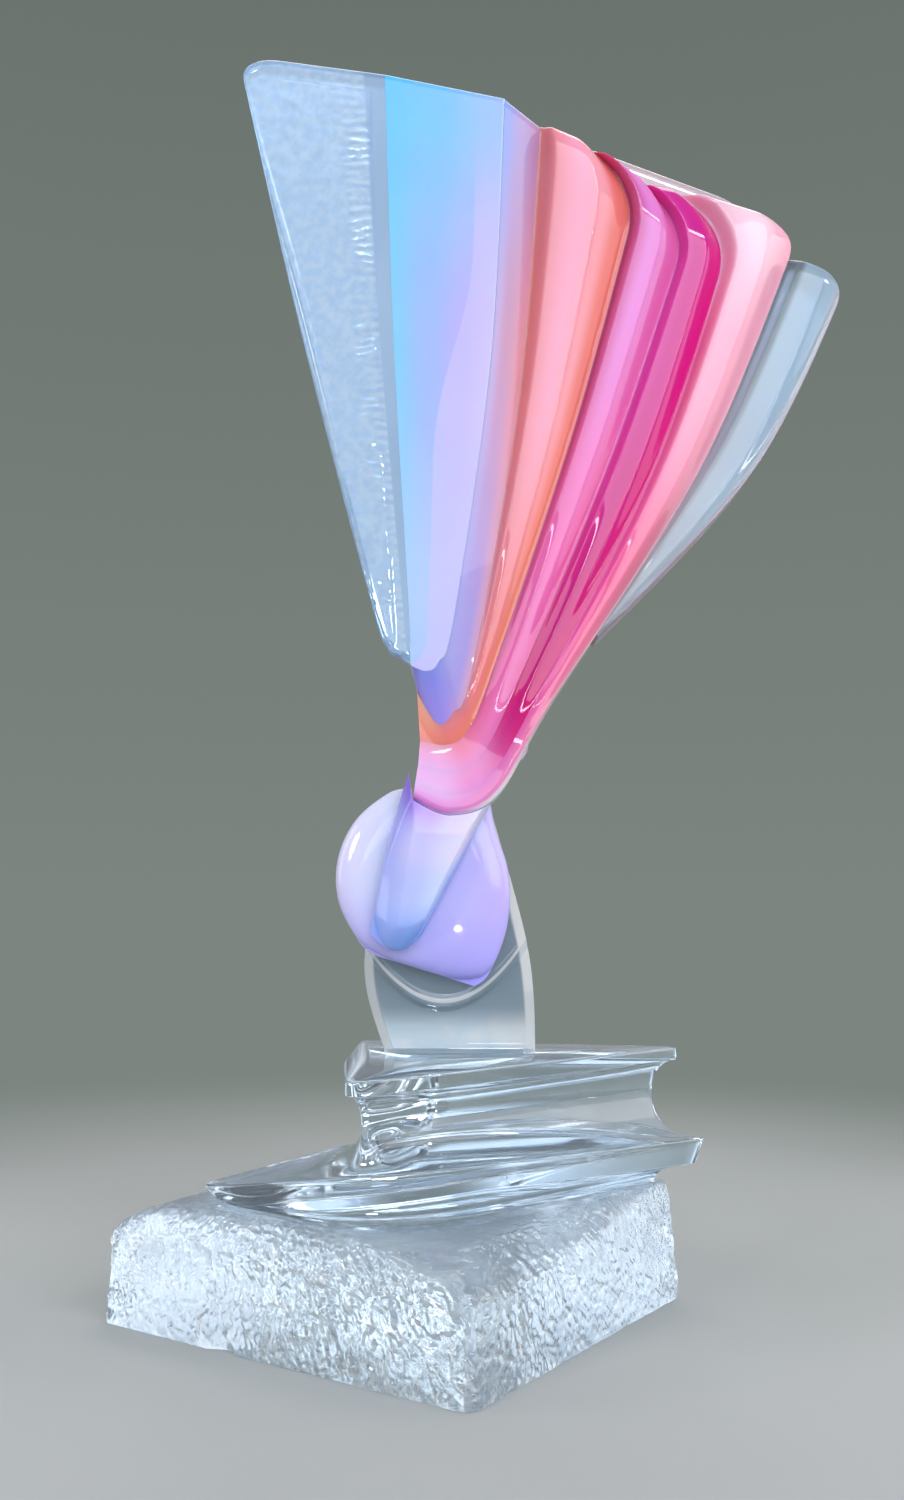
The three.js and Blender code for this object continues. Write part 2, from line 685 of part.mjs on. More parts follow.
const { leftEdge, clearBlue, blueLavender, lavenderCoral } = seams;
const { coralOrchid, orchidMagenta, magentaRose, roseClear } = seams;
const ridged = { edge: TOP_EDGE, free: ['top'], backFree: [] };
const fan = new THREE.Group();
fan.add(piece('clear_left_blade', blade(leftEdge, clearBlue, {
  leftCorner: CLEAR_CORNER,
  back: (place) => facetAt(place) + CLEAR_THICKNESS,
  edge: FACET_EDGE,
  free: ['left', 'top'],
}), CLEAR, CLEAR_OPACITY));
fan.add(piece('blue_blade', blade(clearBlue, blueLavender, { edge: FACET_EDGE, free: ['top'] }), BLUE));
fan.add(piece('lavender_blade', blade(blueLavender, lavenderCoral, {
  edge: NECK_EDGE,
  free: ['top', 'bottom'],
  backFree: ['top'],
}), LAVENDER));
fan.add(piece('coral_blade', blade(lavenderCoral, coralOrchid, {
  ...ridged,
  crown: CORAL_CROWN,
}), CORAL));
fan.add(piece('orchid_blade', blade(coralOrchid, orchidMagenta, {
  ...ridged,
  crown: ORCHID_CROWN,
}), ORCHID));
fan.add(piece('magenta_blade', blade(orchidMagenta, magentaRose, {
  ...ridged,
  crown: MAGENTA_CROWN,
}), MAGENTA));
fan.add(piece('rose_blade', blade(magentaRose, roseClear, {
  ...ridged,
  crown: ROSE_CROWN,
  rightCorner: ROSE_CORNER,
}), ROSE));
fan.add(piece('clear_right_blade', rightBlade(), CLEAR, CLEAR_OPACITY));
fan.add(piece('clear_backing', backing(), CLEAR, CLEAR_OPACITY));

const sculpture = new THREE.Group();
sculpture.add(base, support, fan);

export default sculpture;
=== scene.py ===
import math

import bpy
import numpy as np
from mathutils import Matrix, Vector, noise


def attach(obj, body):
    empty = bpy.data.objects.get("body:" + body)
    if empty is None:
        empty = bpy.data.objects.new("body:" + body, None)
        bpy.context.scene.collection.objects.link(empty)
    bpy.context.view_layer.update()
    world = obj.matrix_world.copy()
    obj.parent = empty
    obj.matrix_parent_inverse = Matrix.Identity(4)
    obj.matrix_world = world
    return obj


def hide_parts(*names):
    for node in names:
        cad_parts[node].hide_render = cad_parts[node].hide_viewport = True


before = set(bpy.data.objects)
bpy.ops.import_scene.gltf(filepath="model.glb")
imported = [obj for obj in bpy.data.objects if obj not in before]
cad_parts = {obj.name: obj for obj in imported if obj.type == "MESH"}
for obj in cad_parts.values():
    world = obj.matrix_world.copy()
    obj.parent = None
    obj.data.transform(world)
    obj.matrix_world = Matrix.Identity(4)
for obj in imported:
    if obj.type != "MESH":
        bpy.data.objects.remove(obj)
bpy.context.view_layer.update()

# Sizes in millimetres, the same as the solids'. Places in the front view are x and z from the waist.
MM = 0.001
BOND = 0.3

# Foot block, turned about the upright axis by degrees
FOOT_LENGTH = 197
FOOT_WIDTH = 181
FOOT_TURN = 56
FOOT_SIDE_HEIGHT = 34
FOOT_HEIGHT = 53
FOOT_DRAFT = 2
FOOT_CORNER_ROUND = 7
SHOULDER_MARGIN = 4

# Swept tier: each corner of its ledge has its own rise, thickness, rounding and undercut
TIER_HEIGHT = 39
LEDGE_PLACES = [(-92, -30), (-4, -97), (151, 25), (-18, 96)]
LEDGE_RISES = np.array([2.0, 7.0, 8.0, 2.0])
LEDGE_THICKNESS = np.array([5.0, 17.0, 11.0, 5.0])
LEDGE_ROUNDS = [20, 50, 14, 40]
LEDGE_UNDERCUT = np.array([-9.0, -9.0, -25.0, -9.0])
LEDGE_LEAN = 4
LEDGE_EDGE = 1

# Top plate: a lip over a cove
PLATE_HEIGHT = 20
PLATE_PLACES = [(-26, -8), (-19, -88), (141, 50), (-24, 84)]
PLATE_LIP = 6
PLATE_EDGE = 1.5
PLATE_ROUND = 10
COVE_DEPTH = 14
COVE_HOLLOW = 1.5

# Stem: a shallow recess with a curved bead above it
STEM_HEIGHT = 115
STEM_FOOT_WIDTH = 72
STEM_FOOT_X = 28
STEM_BELLY_LEFT = 46
STEM_BELLY_RIGHT = 33
STEM_BELLY_HEIGHT = 48
STEM_FOOT_DEPTH = 38
STEM_WAIST_DEPTH = 24
STEM_EDGE = 5
STEM_ROLL = 5
STEM_FOOT_BEVEL = 3
STEM_RECESS = 4
STEM_RECESS_SLOPE = 3
STEM_RECESS_TOP = 23
STEM_RECESS_X = 20
STEM_RECESS_BEND = 0.019
STEM_BEAD = 0.7
STEM_BEAD_WIDTH = 1.6
STEM_BEAD_ABOVE = 2.5
STEM_FLATNESS = 0.85

# Waist, where the fan meets the stem
WAIST_X = 22
NECK_FRONT = -24
NECK_BACK = 4
NECK_EDGE = 5

# Root wedge and lavender disc. Their peak is as wide as the first of the solids' steps across
WEDGE_THICKNESS = 14
WEDGE_LENGTH = 65
WEDGE_TIP_X = -23.5
WEDGE_TIP_WIDTH = 24
WEDGE_TIP_DEPTH = 8
WEDGE_BELLY = (-29.5, -22)
WEDGE_PEAK = (-18.5, 17.5)
WEDGE_EDGE = 9
WEDGE_ROLL_LEFT = 13
WEDGE_ROLL_RIGHT = 5
WEDGE_ROLL_TIP = 12
WEDGE_FLATNESS = 0.7
DISC_THICKNESS = 16
DISC_EDGE = 7
DISC_ROLL = 15
DISC_CUT_LEFT = (-35, -67.5)
DISC_CUT_RIGHT = (12.5, -82)
DISC_PEAK = (-17.3, 11)
DISC_LEFT = dict(centre=(-8, -31.5), radius=45, arc=(220, 116))
DISC_RIGHT = dict(centre=(-41.5, -39.5), radius=71, arc=(-32, 25))
DISC_ARC_STEPS = 5
SOLID_STEPS = 10
PEAK_SHARE = (1 - math.cos(math.pi / SOLID_STEPS)) / 2

# Fan: its facet, its back, its edges, and the pocket behind the clear left layer
FAN_RISE = 330
FACET_NECK_FRONT = -30
FACET_TOP_FRONT = -42
BACK_SLOPE = 0.2
TOP_EDGE = 4
FACET_EDGE = 4
BACKING_THICKNESS = 14
BACKING_EDGE = 5
BACKING_CORNER = 12
CLEAR_THICKNESS = 13
POCKET_DEPTH = 1.5
POCKET_RIM = 5
POCKET_SEAM_RIM = 7
POCKET_END = 9
POCKET_SLOPE = 1.5
PEEL_DEPTH = 0.5
PEEL_SCALE = 0.16
SWAY_SCALE = 0.07
SAW_DEPTH = 0.45
SAW_PITCH = 4.3
SAW_SWAY = 1.2
SAW_PATCHES = (-0.35, 0.15)
SAW_TO = 21
SAW_FADE_IN = 3
SAW_FADE_OUT = 4

# Seams from left to right: the end on the neck, the low point and the turn of the hook, then the lean in
# degrees, the reach and the bow of the rise, the depth at the top, and the end of a crook at the top
SEAMS = {
    "left_edge": dict(end=(-17.5, 66.5), low=(-22, 70), turn=(-36, 97), lean=-15.6, reach=372, bow=-2),
    "clear_blue": dict(end=(-17.2, 66.2), low=(-17.3, 72), turn=(-18, 92), lean=-4.9, reach=350, bow=-1.5),
    "blue_lavender": dict(end=(-16.5, 65), low=(-9.5, 62.5), turn=(3, 87), lean=4.6, reach=338, bow=5.5),
    "lavender_coral": dict(
        end=(-14.2, 54), low=(-5, 39.5), turn=(11.5, 66), lean=7.7, reach=338, bow=6, front=-22,
    ),
    "coral_orchid": dict(
        end=(-12.8, 31.5), low=(-1, 29.5), turn=(20, 62), crook=(69.5, 330.5),
        lean=17.1, reach=325, bow=3.5, front=-8,
    ),
    "orchid_magenta": dict(
        end=(-13.6, 20.5), low=(1, 17), turn=(31.5, 56.5), crook=(95, 316.5),
        lean=22.3, reach=321, bow=4, front=3,
    ),
    "magenta_rose": dict(
        end=(-15, 12), low=(1.5, 6.5), turn=(38.5, 46.5), crook=(113.5, 318),
        lean=26, reach=331, bow=10, front=12,
    ),
    "rose_clear": dict(end=(-16, 4), low=(2, -3), turn=(50.5, 52.5), lean=31, reach=354, bow=11, front=23),
}
RIGHT_EDGE = dict(end=(71.9, 82.3), lean=36.6, reach=350, bow=16, front=29)
BACKING_LEFT = dict(end=(-13, 8), low=(-9, 30), turn=(6, 66), lean=11, reach=356, bow=6)
BACKING_RIGHT = dict(end=(20, 8), low=(29, 25), turn=(49, 57), lean=27.5, reach=364, bow=9)
HEEL_ACROSS = 0.45
HEEL_UP = 0.18
HOOK_SHARE = 0.6
CROOK_FROM = 0.94
SADDLE_SHARE = 0.37
CORNER_EASE = 3
RIGHT_BLADE_UP = 2 / 11
RIGHT_BLADE_START = HOOK_SHARE + (CROOK_FROM - HOOK_SHARE) * RIGHT_BLADE_UP

# Round upper corners, crowns and flanks of the ridges
CLEAR_CORNER = 21
ROSE_CORNER = 28
RIGHT_CORNER = 30
CORAL_CROWN = 9
ORCHID_CROWN = 9
MAGENTA_CROWN = 8
ROSE_CROWN = 11
RIGHT_CROWN = 5
RIDGE_LEFT_FLANK = 0.2
RIDGE_RIGHT_FLANK = 0.4
RIDGE_FROM = 0.13
RIDGE_FLAT_FROM = 0.6
RIDGE_RUN_OUT = 14
ROSE_BEVEL = 4
ROSE_BEVEL_FADES_FROM = 0.5

# Fine rounding along the seams. Coloured layers meet there, and a clear one is a hair apart from them.
SEAM_EDGE = 0.7
SEAM_GAP = 0.03

# Heights and depths that follow
tier_bottom = FOOT_HEIGHT + BOND
tier_top = tier_bottom + TIER_HEIGHT
plate_bottom = tier_top + BOND
plate_top = plate_bottom + PLATE_HEIGHT
stem_bottom = plate_top + BOND
waist_z = stem_bottom + STEM_HEIGHT
waist = np.array([WAIST_X, waist_z])
wedge_back = NECK_FRONT + WEDGE_THICKNESS
disc_front = wedge_back + BOND
disc_back = disc_front + DISC_THICKNESS
stem_front = disc_back + BOND


# Curves in the front view
def spline(points):
    """A smooth curve through points, evaluated at parameters from 0 to 1."""
    knots = np.array(points, float)
    last = len(knots) - 1

    def at(t):
        place = last * np.clip(np.asarray(t, float), 0, 1)
        i = np.minimum(np.floor(place).astype(int), last)
        w = (place - i)[..., None]
        before, start = knots[np.maximum(i - 1, 0)], knots[i]
        end, after = knots[np.minimum(i + 1, last)], knots[np.minimum(i + 2, last)]
        v0, v1 = (end - before) / 2, (after - start) / 2
        cubic = (2 * (start - end) + v0 + v1) * w**3
        return cubic + (3 * (end - start) - 2 * v0 - v1) * w**2 + v0 * w + start

    at.knots = knots
    return at


def rise_points(start, seam):
    """A seam's upper points: a start, a bowed middle and the top."""
    angle = math.radians(seam["lean"])
    top = seam["reach"] * np.array([math.sin(angle), math.cos(angle)])
    way = top - np.array(start)
    side = np.array([way[1], -way[0]]) / np.hypot(*way)
    return [np.array(start), np.array(start) + way / 2 + seam["bow"] * side, top]


def crooked(rise, end):
    """A rising curve whose upper end bends over to another end."""
    start, corner = rise(CROOK_FROM), rise(1.0)

    def at(t):
        u = np.clip((np.asarray(t, float) - CROOK_FROM) / (1 - CROOK_FROM), 0, 1)[..., None]
        bend = (1 - u) ** 2 * start + 2 * u * (1 - u) * corner + u**2 * end
        return np.where(u > 0, bend, rise(t))

    at.knots = rise.knots
    return at


def seam_curve(seam):
    """A whole seam: a hook at the neck, a rise, and a crook if it has one."""
    low, turn = np.array(seam["low"]), np.array(seam["turn"])
    heel = low + (turn - low) * np.array([HEEL_ACROSS, HEEL_UP])
    rise = spline([waist + p for p in [seam["end"], low, heel, *rise_points(turn, seam)]])
    return crooked(rise, waist + seam["crook"]) if "crook" in seam else rise


curves = {name: seam_curve(seam) for name, seam in SEAMS.items()}
right_edge = spline([waist + p for p in rise_points(RIGHT_EDGE["end"], RIGHT_EDGE)])


def beside(curve, t, gap):
    """A point of a curve moved to its right-hand side by a gap."""
    step = 1e-4
    way = curve(np.clip(t + step, 0, 1)) - curve(np.clip(t - step, 0, 1))
    way /= np.linalg.norm(way, axis=-1, keepdims=True)
    return curve(t) + gap * np.stack([way[..., 1], -way[..., 0]], -1)


def cut_back(curve, corner):
    """How much of a curve's parameter a corner takes off its upper end."""
    last_run = np.linalg.norm(curve.knots[-1] - curve.knots[-2])
    return corner / last_run / (len(curve.knots) - 1)


def drawn_back(t, drop):
    """A station drawn back by a drop, fully at the top and less farther down."""
    rise = np.clip((t - HOOK_SHARE) / (1 - HOOK_SHARE), 0, 1)
    return t - drop * rise**CORNER_EASE


def round_top(left, right, left_corner, right_corner):
    """How far a column of a blade is drawn back from the seams' tops into its round upper corners."""
    width = np.linalg.norm(left(1.0) - right(1.0))

    def drop(curve, corner, nearness):
        share = np.clip(1 - nearness * width / max(corner, BOND), 0, 1)
        return cut_back(curve, corner) * (1 - np.sqrt(1 - share**2))

    return lambda s: drop(left, left_corner, s) + drop(right, right_corner, 1 - s)


def mix(a, b, share):
    """Points between other points."""
    return a + (b - a) * np.asarray(share)[..., None]


def lerp(a, b, share):
    """Numbers between other numbers."""
    return a + (b - a) * share


def smooth(value, low, high):
    x = np.clip((value - low) / (high - low), 0, 1)
    return x * x * (3 - 2 * x)


def crowded(steps):
    """Stations from 0 to 1 that crowd towards both ends, where edges are rounded."""
    return (1 - np.cos(np.pi * np.arange(steps + 1) / steps)) / 2


def coons(left, right, bottom=None, top=None):
    """A patch ruled from side to side, and drawn to the shaped edge near either end."""

    def patch(s, t):
        place = mix(left(t), right(t), s)
        if bottom:
            place = place + (bottom(s) - mix(left(0 * t), right(0 * t), s)) * ((1 - t) ** 2)[..., None]
        if top:
            place = place + (top(s) - mix(left(0 * t + 1), right(0 * t + 1), s)) * (t**2)[..., None]
        return place

    return patch


# Depths of the fan's faces at a place in the front view
facet_tip_z = waist_z + SEAMS["blue_lavender"]["low"][1]
facet_slope = (FACET_TOP_FRONT - FACET_NECK_FRONT) / (FAN_RISE - SEAMS["blue_lavender"]["low"][1])


def rise_of(place):
    return np.clip((place[..., 1] - waist_z) / FAN_RISE, 0, 1)


def back_at(place):
    return NECK_BACK + BACK_SLOPE * (place[..., 0] - WAIST_X)


def front_of(seam, place):
    if "front" in seam:
        return lerp(NECK_FRONT, seam["front"], rise_of(place))
    return FACET_NECK_FRONT + facet_slope * (place[..., 1] - facet_tip_z)


def ridge(s, rise, crown, below_top):
    """How far a ridge stands forward.

    It is round above the smooth neck, flat-crested high up, and runs out below the top.
    """
    flat = smooth(s, 0, RIDGE_LEFT_FLANK) * (1 - smooth(s, 1 - RIDGE_RIGHT_FLANK, 1))
    across = lerp(np.sin(np.pi * s) ** 2, flat, smooth(rise, 0, RIDGE_FLAT_FROM))
    run_out = np.sqrt(1 - np.clip(1 - below_top / RIDGE_RUN_OUT, 0, 1) ** 2)
    return crown * np.clip((rise - RIDGE_FROM) / (1 - RIDGE_FROM), 0, 1) * across * run_out


# Meshes
CREASES = 35
THINNEST = 1e-6


def make(name, places, faces, slot, across=None, creases=CREASES):
    """A mesh piece in place of a CAD node, from places in millimetres, with its map if it has one."""
    mesh = bpy.data.meshes.new(f"{name}_dressed")
    mesh.from_pydata((np.asarray(places) * MM).tolist(), [], faces)
    if across is not None:
        layer = mesh.uv_layers.new(name="st")
        corners = np.zeros(len(mesh.loops), int)
        mesh.loops.foreach_get("vertex_index", corners)
        layer.uv.foreach_set("vector", across[corners].astype(np.float32).ravel())
    mesh.shade_smooth()
    mesh.set_sharp_from_angle(angle=math.radians(creases))
    mesh.validate()
    obj = bpy.data.objects.new(f"{name}_dressed", mesh)
    bpy.context.scene.collection.objects.link(obj)
    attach(obj, "root")
    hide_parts(name)
    return obj


def rolled(gaps, soft, depth, flatness=0.0):
    """How far a face is drawn in near its edges. A flatness of 0 is a round edge, and 1 is a chamfer."""
    shares = [1 - gaps[edge] / np.maximum(width, THINNEST) for edge, width in soft.items()]
    near = np.clip(sum(np.clip(share, 0, 1) ** 2 for share in shares), 0, 1)
    return depth * lerp(1 - np.sqrt(1 - near), np.sqrt(near), flatness)


def panel(
    name,
    patch,
    front,
    back,
    soft,
    back_soft,
    depth,
    rows,
    columns,
    seam_edges=(),
    flatness=0.0,
    slot=None,
):
    """A closed piece over a patch in the front view, between a front and a back depth."""
    s, t = np.meshgrid(columns, rows)
    place = patch(s, t)
    gaps = {
        "left": np.linalg.norm(place - patch(0 * s, t), axis=-1),
        "right": np.linalg.norm(place - patch(0 * s + 1, t), axis=-1),
        "bottom": np.linalg.norm(place - patch(s, 0 * t), axis=-1),
        "top": np.linalg.norm(place - patch(s, 0 * t + 1), axis=-1),
    }
    soft = {edge: width(t) if callable(width) else width for edge, width in soft.items()}
    fine = rolled(gaps, {edge: SEAM_EDGE for edge in seam_edges}, SEAM_EDGE)
    ahead = front(place, s, gaps) + np.maximum(rolled(gaps, soft, depth, flatness), fine)
    depths = [ahead, back(place, s, gaps) - rolled(gaps, back_soft, depth, flatness)]
    sheets = [np.stack([place[..., 0], y, place[..., 1]], -1).reshape(-1, 3) for y in depths]
    tall, wide = s.shape
    at = np.arange(tall * wide).reshape(tall, wide)
    a, b, c, d = at[:-1, :-1].ravel(), at[:-1, 1:].ravel(), at[1:, 1:].ravel(), at[1:, :-1].ravel()
    behind = tall * wide
    faces = np.stack([a, b, c, d], 1).tolist()
    faces += (np.stack([a, d, c, b], 1) + behind).tolist()
    rim = np.concatenate([at[0, :-1], at[:-1, -1], at[-1, :0:-1], at[:0:-1, 0]])
    following = np.roll(rim, -1)
    faces += np.stack([rim, rim + behind, following + behind, following], 1).tolist()
    across = np.tile(np.stack([s.ravel(), t.ravel()], 1), (2, 1))
    return make(name, np.concatenate(sheets), faces, slot or f"{name.split('_')[0]}_acrylic", across)


HOOK_ROWS = 34
RISE_ROWS = 120
BLADE_COLUMNS = 64
hook_rows = HOOK_SHARE * np.arange(HOOK_ROWS) / HOOK_ROWS
rise_rows = HOOK_SHARE + (1 - HOOK_SHARE) * np.sin(np.pi / 2 * np.arange(RISE_ROWS + 1) / RISE_ROWS)
blade_rows = np.concatenate([hook_rows, rise_rows])
blade_columns = crowded(BLADE_COLUMNS)
POCKET_ROWS = 300
POCKET_COLUMNS = 72
pocket_rows = np.concatenate([hook_rows, np.linspace(HOOK_SHARE, 1, POCKET_ROWS + 1)])


def plain_back(place, s, gaps):
    return back_at(place)


def blade(
    name,
    left,
    right,
    crown=0,
    corners_round=(0, 0),
    back=plain_back,
    gap=0.0,
    rows=blade_rows,
    columns=blade_columns,
    **edges,
):
    """One layer of the fan between two neighbouring seams, with a ridge and round upper corners."""
    drop = round_top(curves[left], curves[right], *corners_round)

    def patch(s, t):
        station = drawn_back(t, drop(s))
        return mix(beside(curves[left], station, gap), beside(curves[right], station, -gap), s)

    def front(place, s, gaps):
        stand = ridge(s, rise_of(place), crown, gaps["top"])
        return lerp(front_of(SEAMS[left], place), front_of(SEAMS[right], place), s) - stand

    return panel(f"{name}_blade", patch, front, back, rows=rows, columns=columns, **edges)


def clear_back(place, s, gaps):
    """Back of the clear left layer: parallel to its face, with a rippled pocket inside a plain rim."""
    rim = np.minimum(gaps["left"], gaps["top"])
    inside = smooth(rim, POCKET_RIM, POCKET_RIM + POCKET_SLOPE)
    inside = inside * smooth(gaps["right"], POCKET_SEAM_RIM, POCKET_SEAM_RIM + POCKET_SLOPE)
    inside = inside * smooth(gaps["bottom"], POCKET_END, POCKET_END + POCKET_SLOPE)
    flat = np.concatenate([place, 0 * place[..., :1]], -1).reshape(-1, 3)
    peel = np.array([noise.noise(Vector(p * PEEL_SCALE)) for p in flat]).reshape(s.shape)
    sway = np.array([noise.noise(Vector(p * SWAY_SCALE)) for p in flat]).reshape(s.shape)
    saw = np.sin(2 * np.pi * (place[..., 1] / SAW_PITCH + SAW_SWAY * sway)) * smooth(sway, *SAW_PATCHES)
    column = smooth(gaps["right"], POCKET_SEAM_RIM, POCKET_SEAM_RIM + SAW_FADE_IN)
    column = column * (1 - smooth(gaps["right"], SAW_TO - SAW_FADE_OUT, SAW_TO))
    hollow_depth = POCKET_DEPTH + PEEL_DEPTH * peel + SAW_DEPTH * saw * column
    return front_of(SEAMS["left_edge"], place) + CLEAR_THICKNESS - inside * hollow_depth


def right_blade():
    inner = curves["rose_clear"]
    inner_drop = cut_back(inner, ROSE_CORNER)
    drop = round_top(inner, right_edge, 0, RIGHT_CORNER)
    span = 1 - RIGHT_BLADE_START

    def patch(s, t):
        reached = drawn_back(lerp(RIGHT_BLADE_START, 1, t), drop(s) * span)
        inside = beside(inner, drawn_back(reached, inner_drop), SEAM_GAP)
        return mix(inside, right_edge(np.clip((reached - RIGHT_BLADE_START) / span, 0, 1)), s)

    def front(place, s, gaps):
        stand = ridge(s, rise_of(place), RIGHT_CROWN, gaps["top"])
        return lerp(front_of(SEAMS["rose_clear"], place), front_of(RIGHT_EDGE, place), s) - stand

    soft = {"right": FACET_EDGE, "top": FACET_EDGE}
    rows = np.sin(np.pi / 2 * np.arange(RISE_ROWS + 1) / RISE_ROWS)
    return panel(
        "clear_right_blade",
        patch,
        front,
        plain_back,
        soft,
        soft,
        FACET_EDGE,
        rows,
        blade_columns,
    )


def backing():
    left, right = seam_curve(BACKING_LEFT), seam_curve(BACKING_RIGHT)
    drop = round_top(left, right, BACKING_CORNER, ROSE_CORNER)
    sheet = coons(left, right, bottom=lambda s: curves["rose_clear"](SADDLE_SHARE * s))
    soft = {"top": BACKING_EDGE, "right": BACKING_EDGE}
    return panel(
        "clear_backing",
        lambda s, t: sheet(s, drawn_back(t, drop(s))),
        lambda place, s, gaps: back_at(place) + BOND,
        lambda place, s, gaps: back_at(place) + BOND + BACKING_THICKNESS,
        soft,
        {"left": BACKING_EDGE, **soft},
        BACKING_EDGE,
        blade_rows,
        blade_columns,
    )


def saddle(s):
    """The upper edge of the pieces under the fan, along the hook of the last seam."""
    return beside(curves["rose_clear"], SADDLE_SHARE * np.asarray(s), BOND)


def peaked_saddle(peak):
    """The waist's saddle, with a peak that climbs beside the neck at its left end."""

    def at(s):
        climb = mix(waist + peak + 0 * saddle(s), saddle(0 * s), np.clip(s / PEAK_SHARE, 0, 1))
        along = saddle(np.clip((s - PEAK_SHARE) / (1 - PEAK_SHARE), 0, 1))
        return np.where((s < PEAK_SHARE)[..., None], climb, along)

    return at


BODY_ROWS = 72
BODY_COLUMNS = 56
STEM_ROWS = 170
STEM_COLUMNS = 130
body_columns = crowded(BODY_COLUMNS)


def stem():
    foot_left = (STEM_FOOT_X - STEM_FOOT_WIDTH / 2, stem_bottom)
    foot_right = (STEM_FOOT_X + STEM_FOOT_WIDTH / 2, stem_bottom)
    belly_z = stem_bottom + STEM_BELLY_HEIGHT
    left = spline([foot_left, (STEM_FOOT_X - STEM_BELLY_LEFT, belly_z), saddle(np.array(0.0))])
    right = spline([foot_right, (STEM_FOOT_X + STEM_BELLY_RIGHT, belly_z), saddle(np.array(1.0))])
    soft = {"left": STEM_ROLL, "right": STEM_ROLL, "bottom": STEM_FOOT_BEVEL}

    def front(place, s, gaps):
        bend = STEM_RECESS_BEND * (place[..., 0] - STEM_RECESS_X) ** 2
        below = stem_bottom + STEM_RECESS_TOP + bend - place[..., 1]
        bead = STEM_BEAD * np.exp(-(((below + STEM_BEAD_ABOVE) / STEM_BEAD_WIDTH) ** 2))
        return stem_front + STEM_RECESS * smooth(below, 0, STEM_RECESS_SLOPE) - bead

    def back(place, s, gaps):
        up = np.clip((place[..., 1] - stem_bottom) / STEM_HEIGHT, 0, 1)
        return stem_front + lerp(STEM_FOOT_DEPTH, STEM_WAIST_DEPTH, up)

    return panel(
        "stem",
        coons(left, right, top=saddle),
        front,
        back,
        soft,
        soft,
        STEM_EDGE,
        crowded(STEM_ROWS),
        crowded(STEM_COLUMNS),
        flatness=STEM_FLATNESS,
        slot="clear_acrylic",
    )


def disc_arc(centre, radius, arc):
    angles = np.radians(np.linspace(*arc, DISC_ARC_STEPS))
    return waist + centre + radius * np.stack([np.cos(angles), np.sin(angles)], 1)


def disc():
    top = peaked_saddle(DISC_PEAK)
    left = spline([waist + DISC_CUT_LEFT, *disc_arc(**DISC_LEFT), top(np.array(0.0))])
    right = spline([waist + DISC_CUT_RIGHT, *disc_arc(**DISC_RIGHT), top(np.array(1.0))])
    soft = {"left": DISC_ROLL, "right": DISC_ROLL, "bottom": DISC_ROLL}
    return panel(
        "lavender_disc",
        coons(left, right, top=top),
        lambda place, s, gaps: disc_front + 0 * s,
        lambda place, s, gaps: disc_back + 0 * s,
        soft,
        soft,
        DISC_EDGE,
        crowded(BODY_ROWS),
        body_columns,
        slot="deep_lavender_acrylic",
    )


def wedge():
    top = peaked_saddle(WEDGE_PEAK)
    tip_z = WEDGE_TIP_DEPTH - WEDGE_LENGTH
    tip_left = waist + (WEDGE_TIP_X - WEDGE_TIP_WIDTH / 2, tip_z)
    tip_right = waist + (WEDGE_TIP_X + WEDGE_TIP_WIDTH / 2, tip_z)
    tip_low = waist + (WEDGE_TIP_X, tip_z - 2 * WEDGE_TIP_DEPTH)

    def tip(s):
        s = s[..., None]
        return (1 - s) ** 2 * tip_left + 2 * s * (1 - s) * tip_low + s**2 * tip_right

    right_top = top(np.array(1.0))
    patch = coons(
        spline([tip_left, waist + WEDGE_BELLY, top(np.array(0.0))]),
        lambda t: mix(tip_right + 0 * right_top, right_top, t),
        bottom=tip,
        top=top,
    )
    return panel(
        "root_wedge",
        patch,
        lambda place, s, gaps: NECK_FRONT + 0 * s,
        lambda place, s, gaps: wedge_back + 0 * s,
        {"left": WEDGE_ROLL_LEFT, "right": WEDGE_ROLL_RIGHT, "bottom": WEDGE_ROLL_TIP},
        {},
        WEDGE_EDGE,
        crowded(BODY_ROWS),
        body_columns,
        flatness=WEDGE_FLATNESS,
        slot="lavender_acrylic",
    )


# Base
def ring(places, rounds, corner_steps, side_steps):
    """Points round four corners, with a rounding for each corner."""
    places = [np.array(p, float) for p in places]
    points = []

    def toward(place, other, distance):
        return place + (other - place) * distance / np.linalg.norm(other - place)

    for k, place in enumerate(places):
        ahead = (k + 1) % len(places)
        start = toward(place, places[k - 1], rounds[k])
        stop = toward(place, places[ahead], rounds[k])
        bend = np.linspace(0, 1, corner_steps + 1)[:, None]
        points.append((1 - bend) ** 2 * start + 2 * bend * (1 - bend) * place + bend**2 * stop)
        away = toward(places[ahead], place, rounds[ahead])
        points.append(stop + (away - stop) * np.linspace(0, 1, side_steps + 1)[1:-1, None])
    return np.concatenate(points)


def corners(places, heights, margins=0):
    """Corners at their heights, each moved out from the middle by its margin."""
    flat = np.array(places, float)
    out = flat - flat.mean(0)
    length = np.linalg.norm(out, axis=1)
    out *= ((length + margins) / length)[:, None]
    return np.column_stack([flat.mean(0) + out, np.broadcast_to(heights, len(flat))])


def foot_corners():
    """The foot block's corners on the table."""
    turn = math.radians(FOOT_TURN)
    across = np.array([math.cos(turn), math.sin(turn)]) * FOOT_WIDTH / 2
    lengthwise = np.array([-math.sin(turn), math.cos(turn)]) * FOOT_LENGTH / 2
    return [a * across + b * lengthwise for a, b in [(-1, 1), (-1, -1), (1, -1), (1, 1)]]


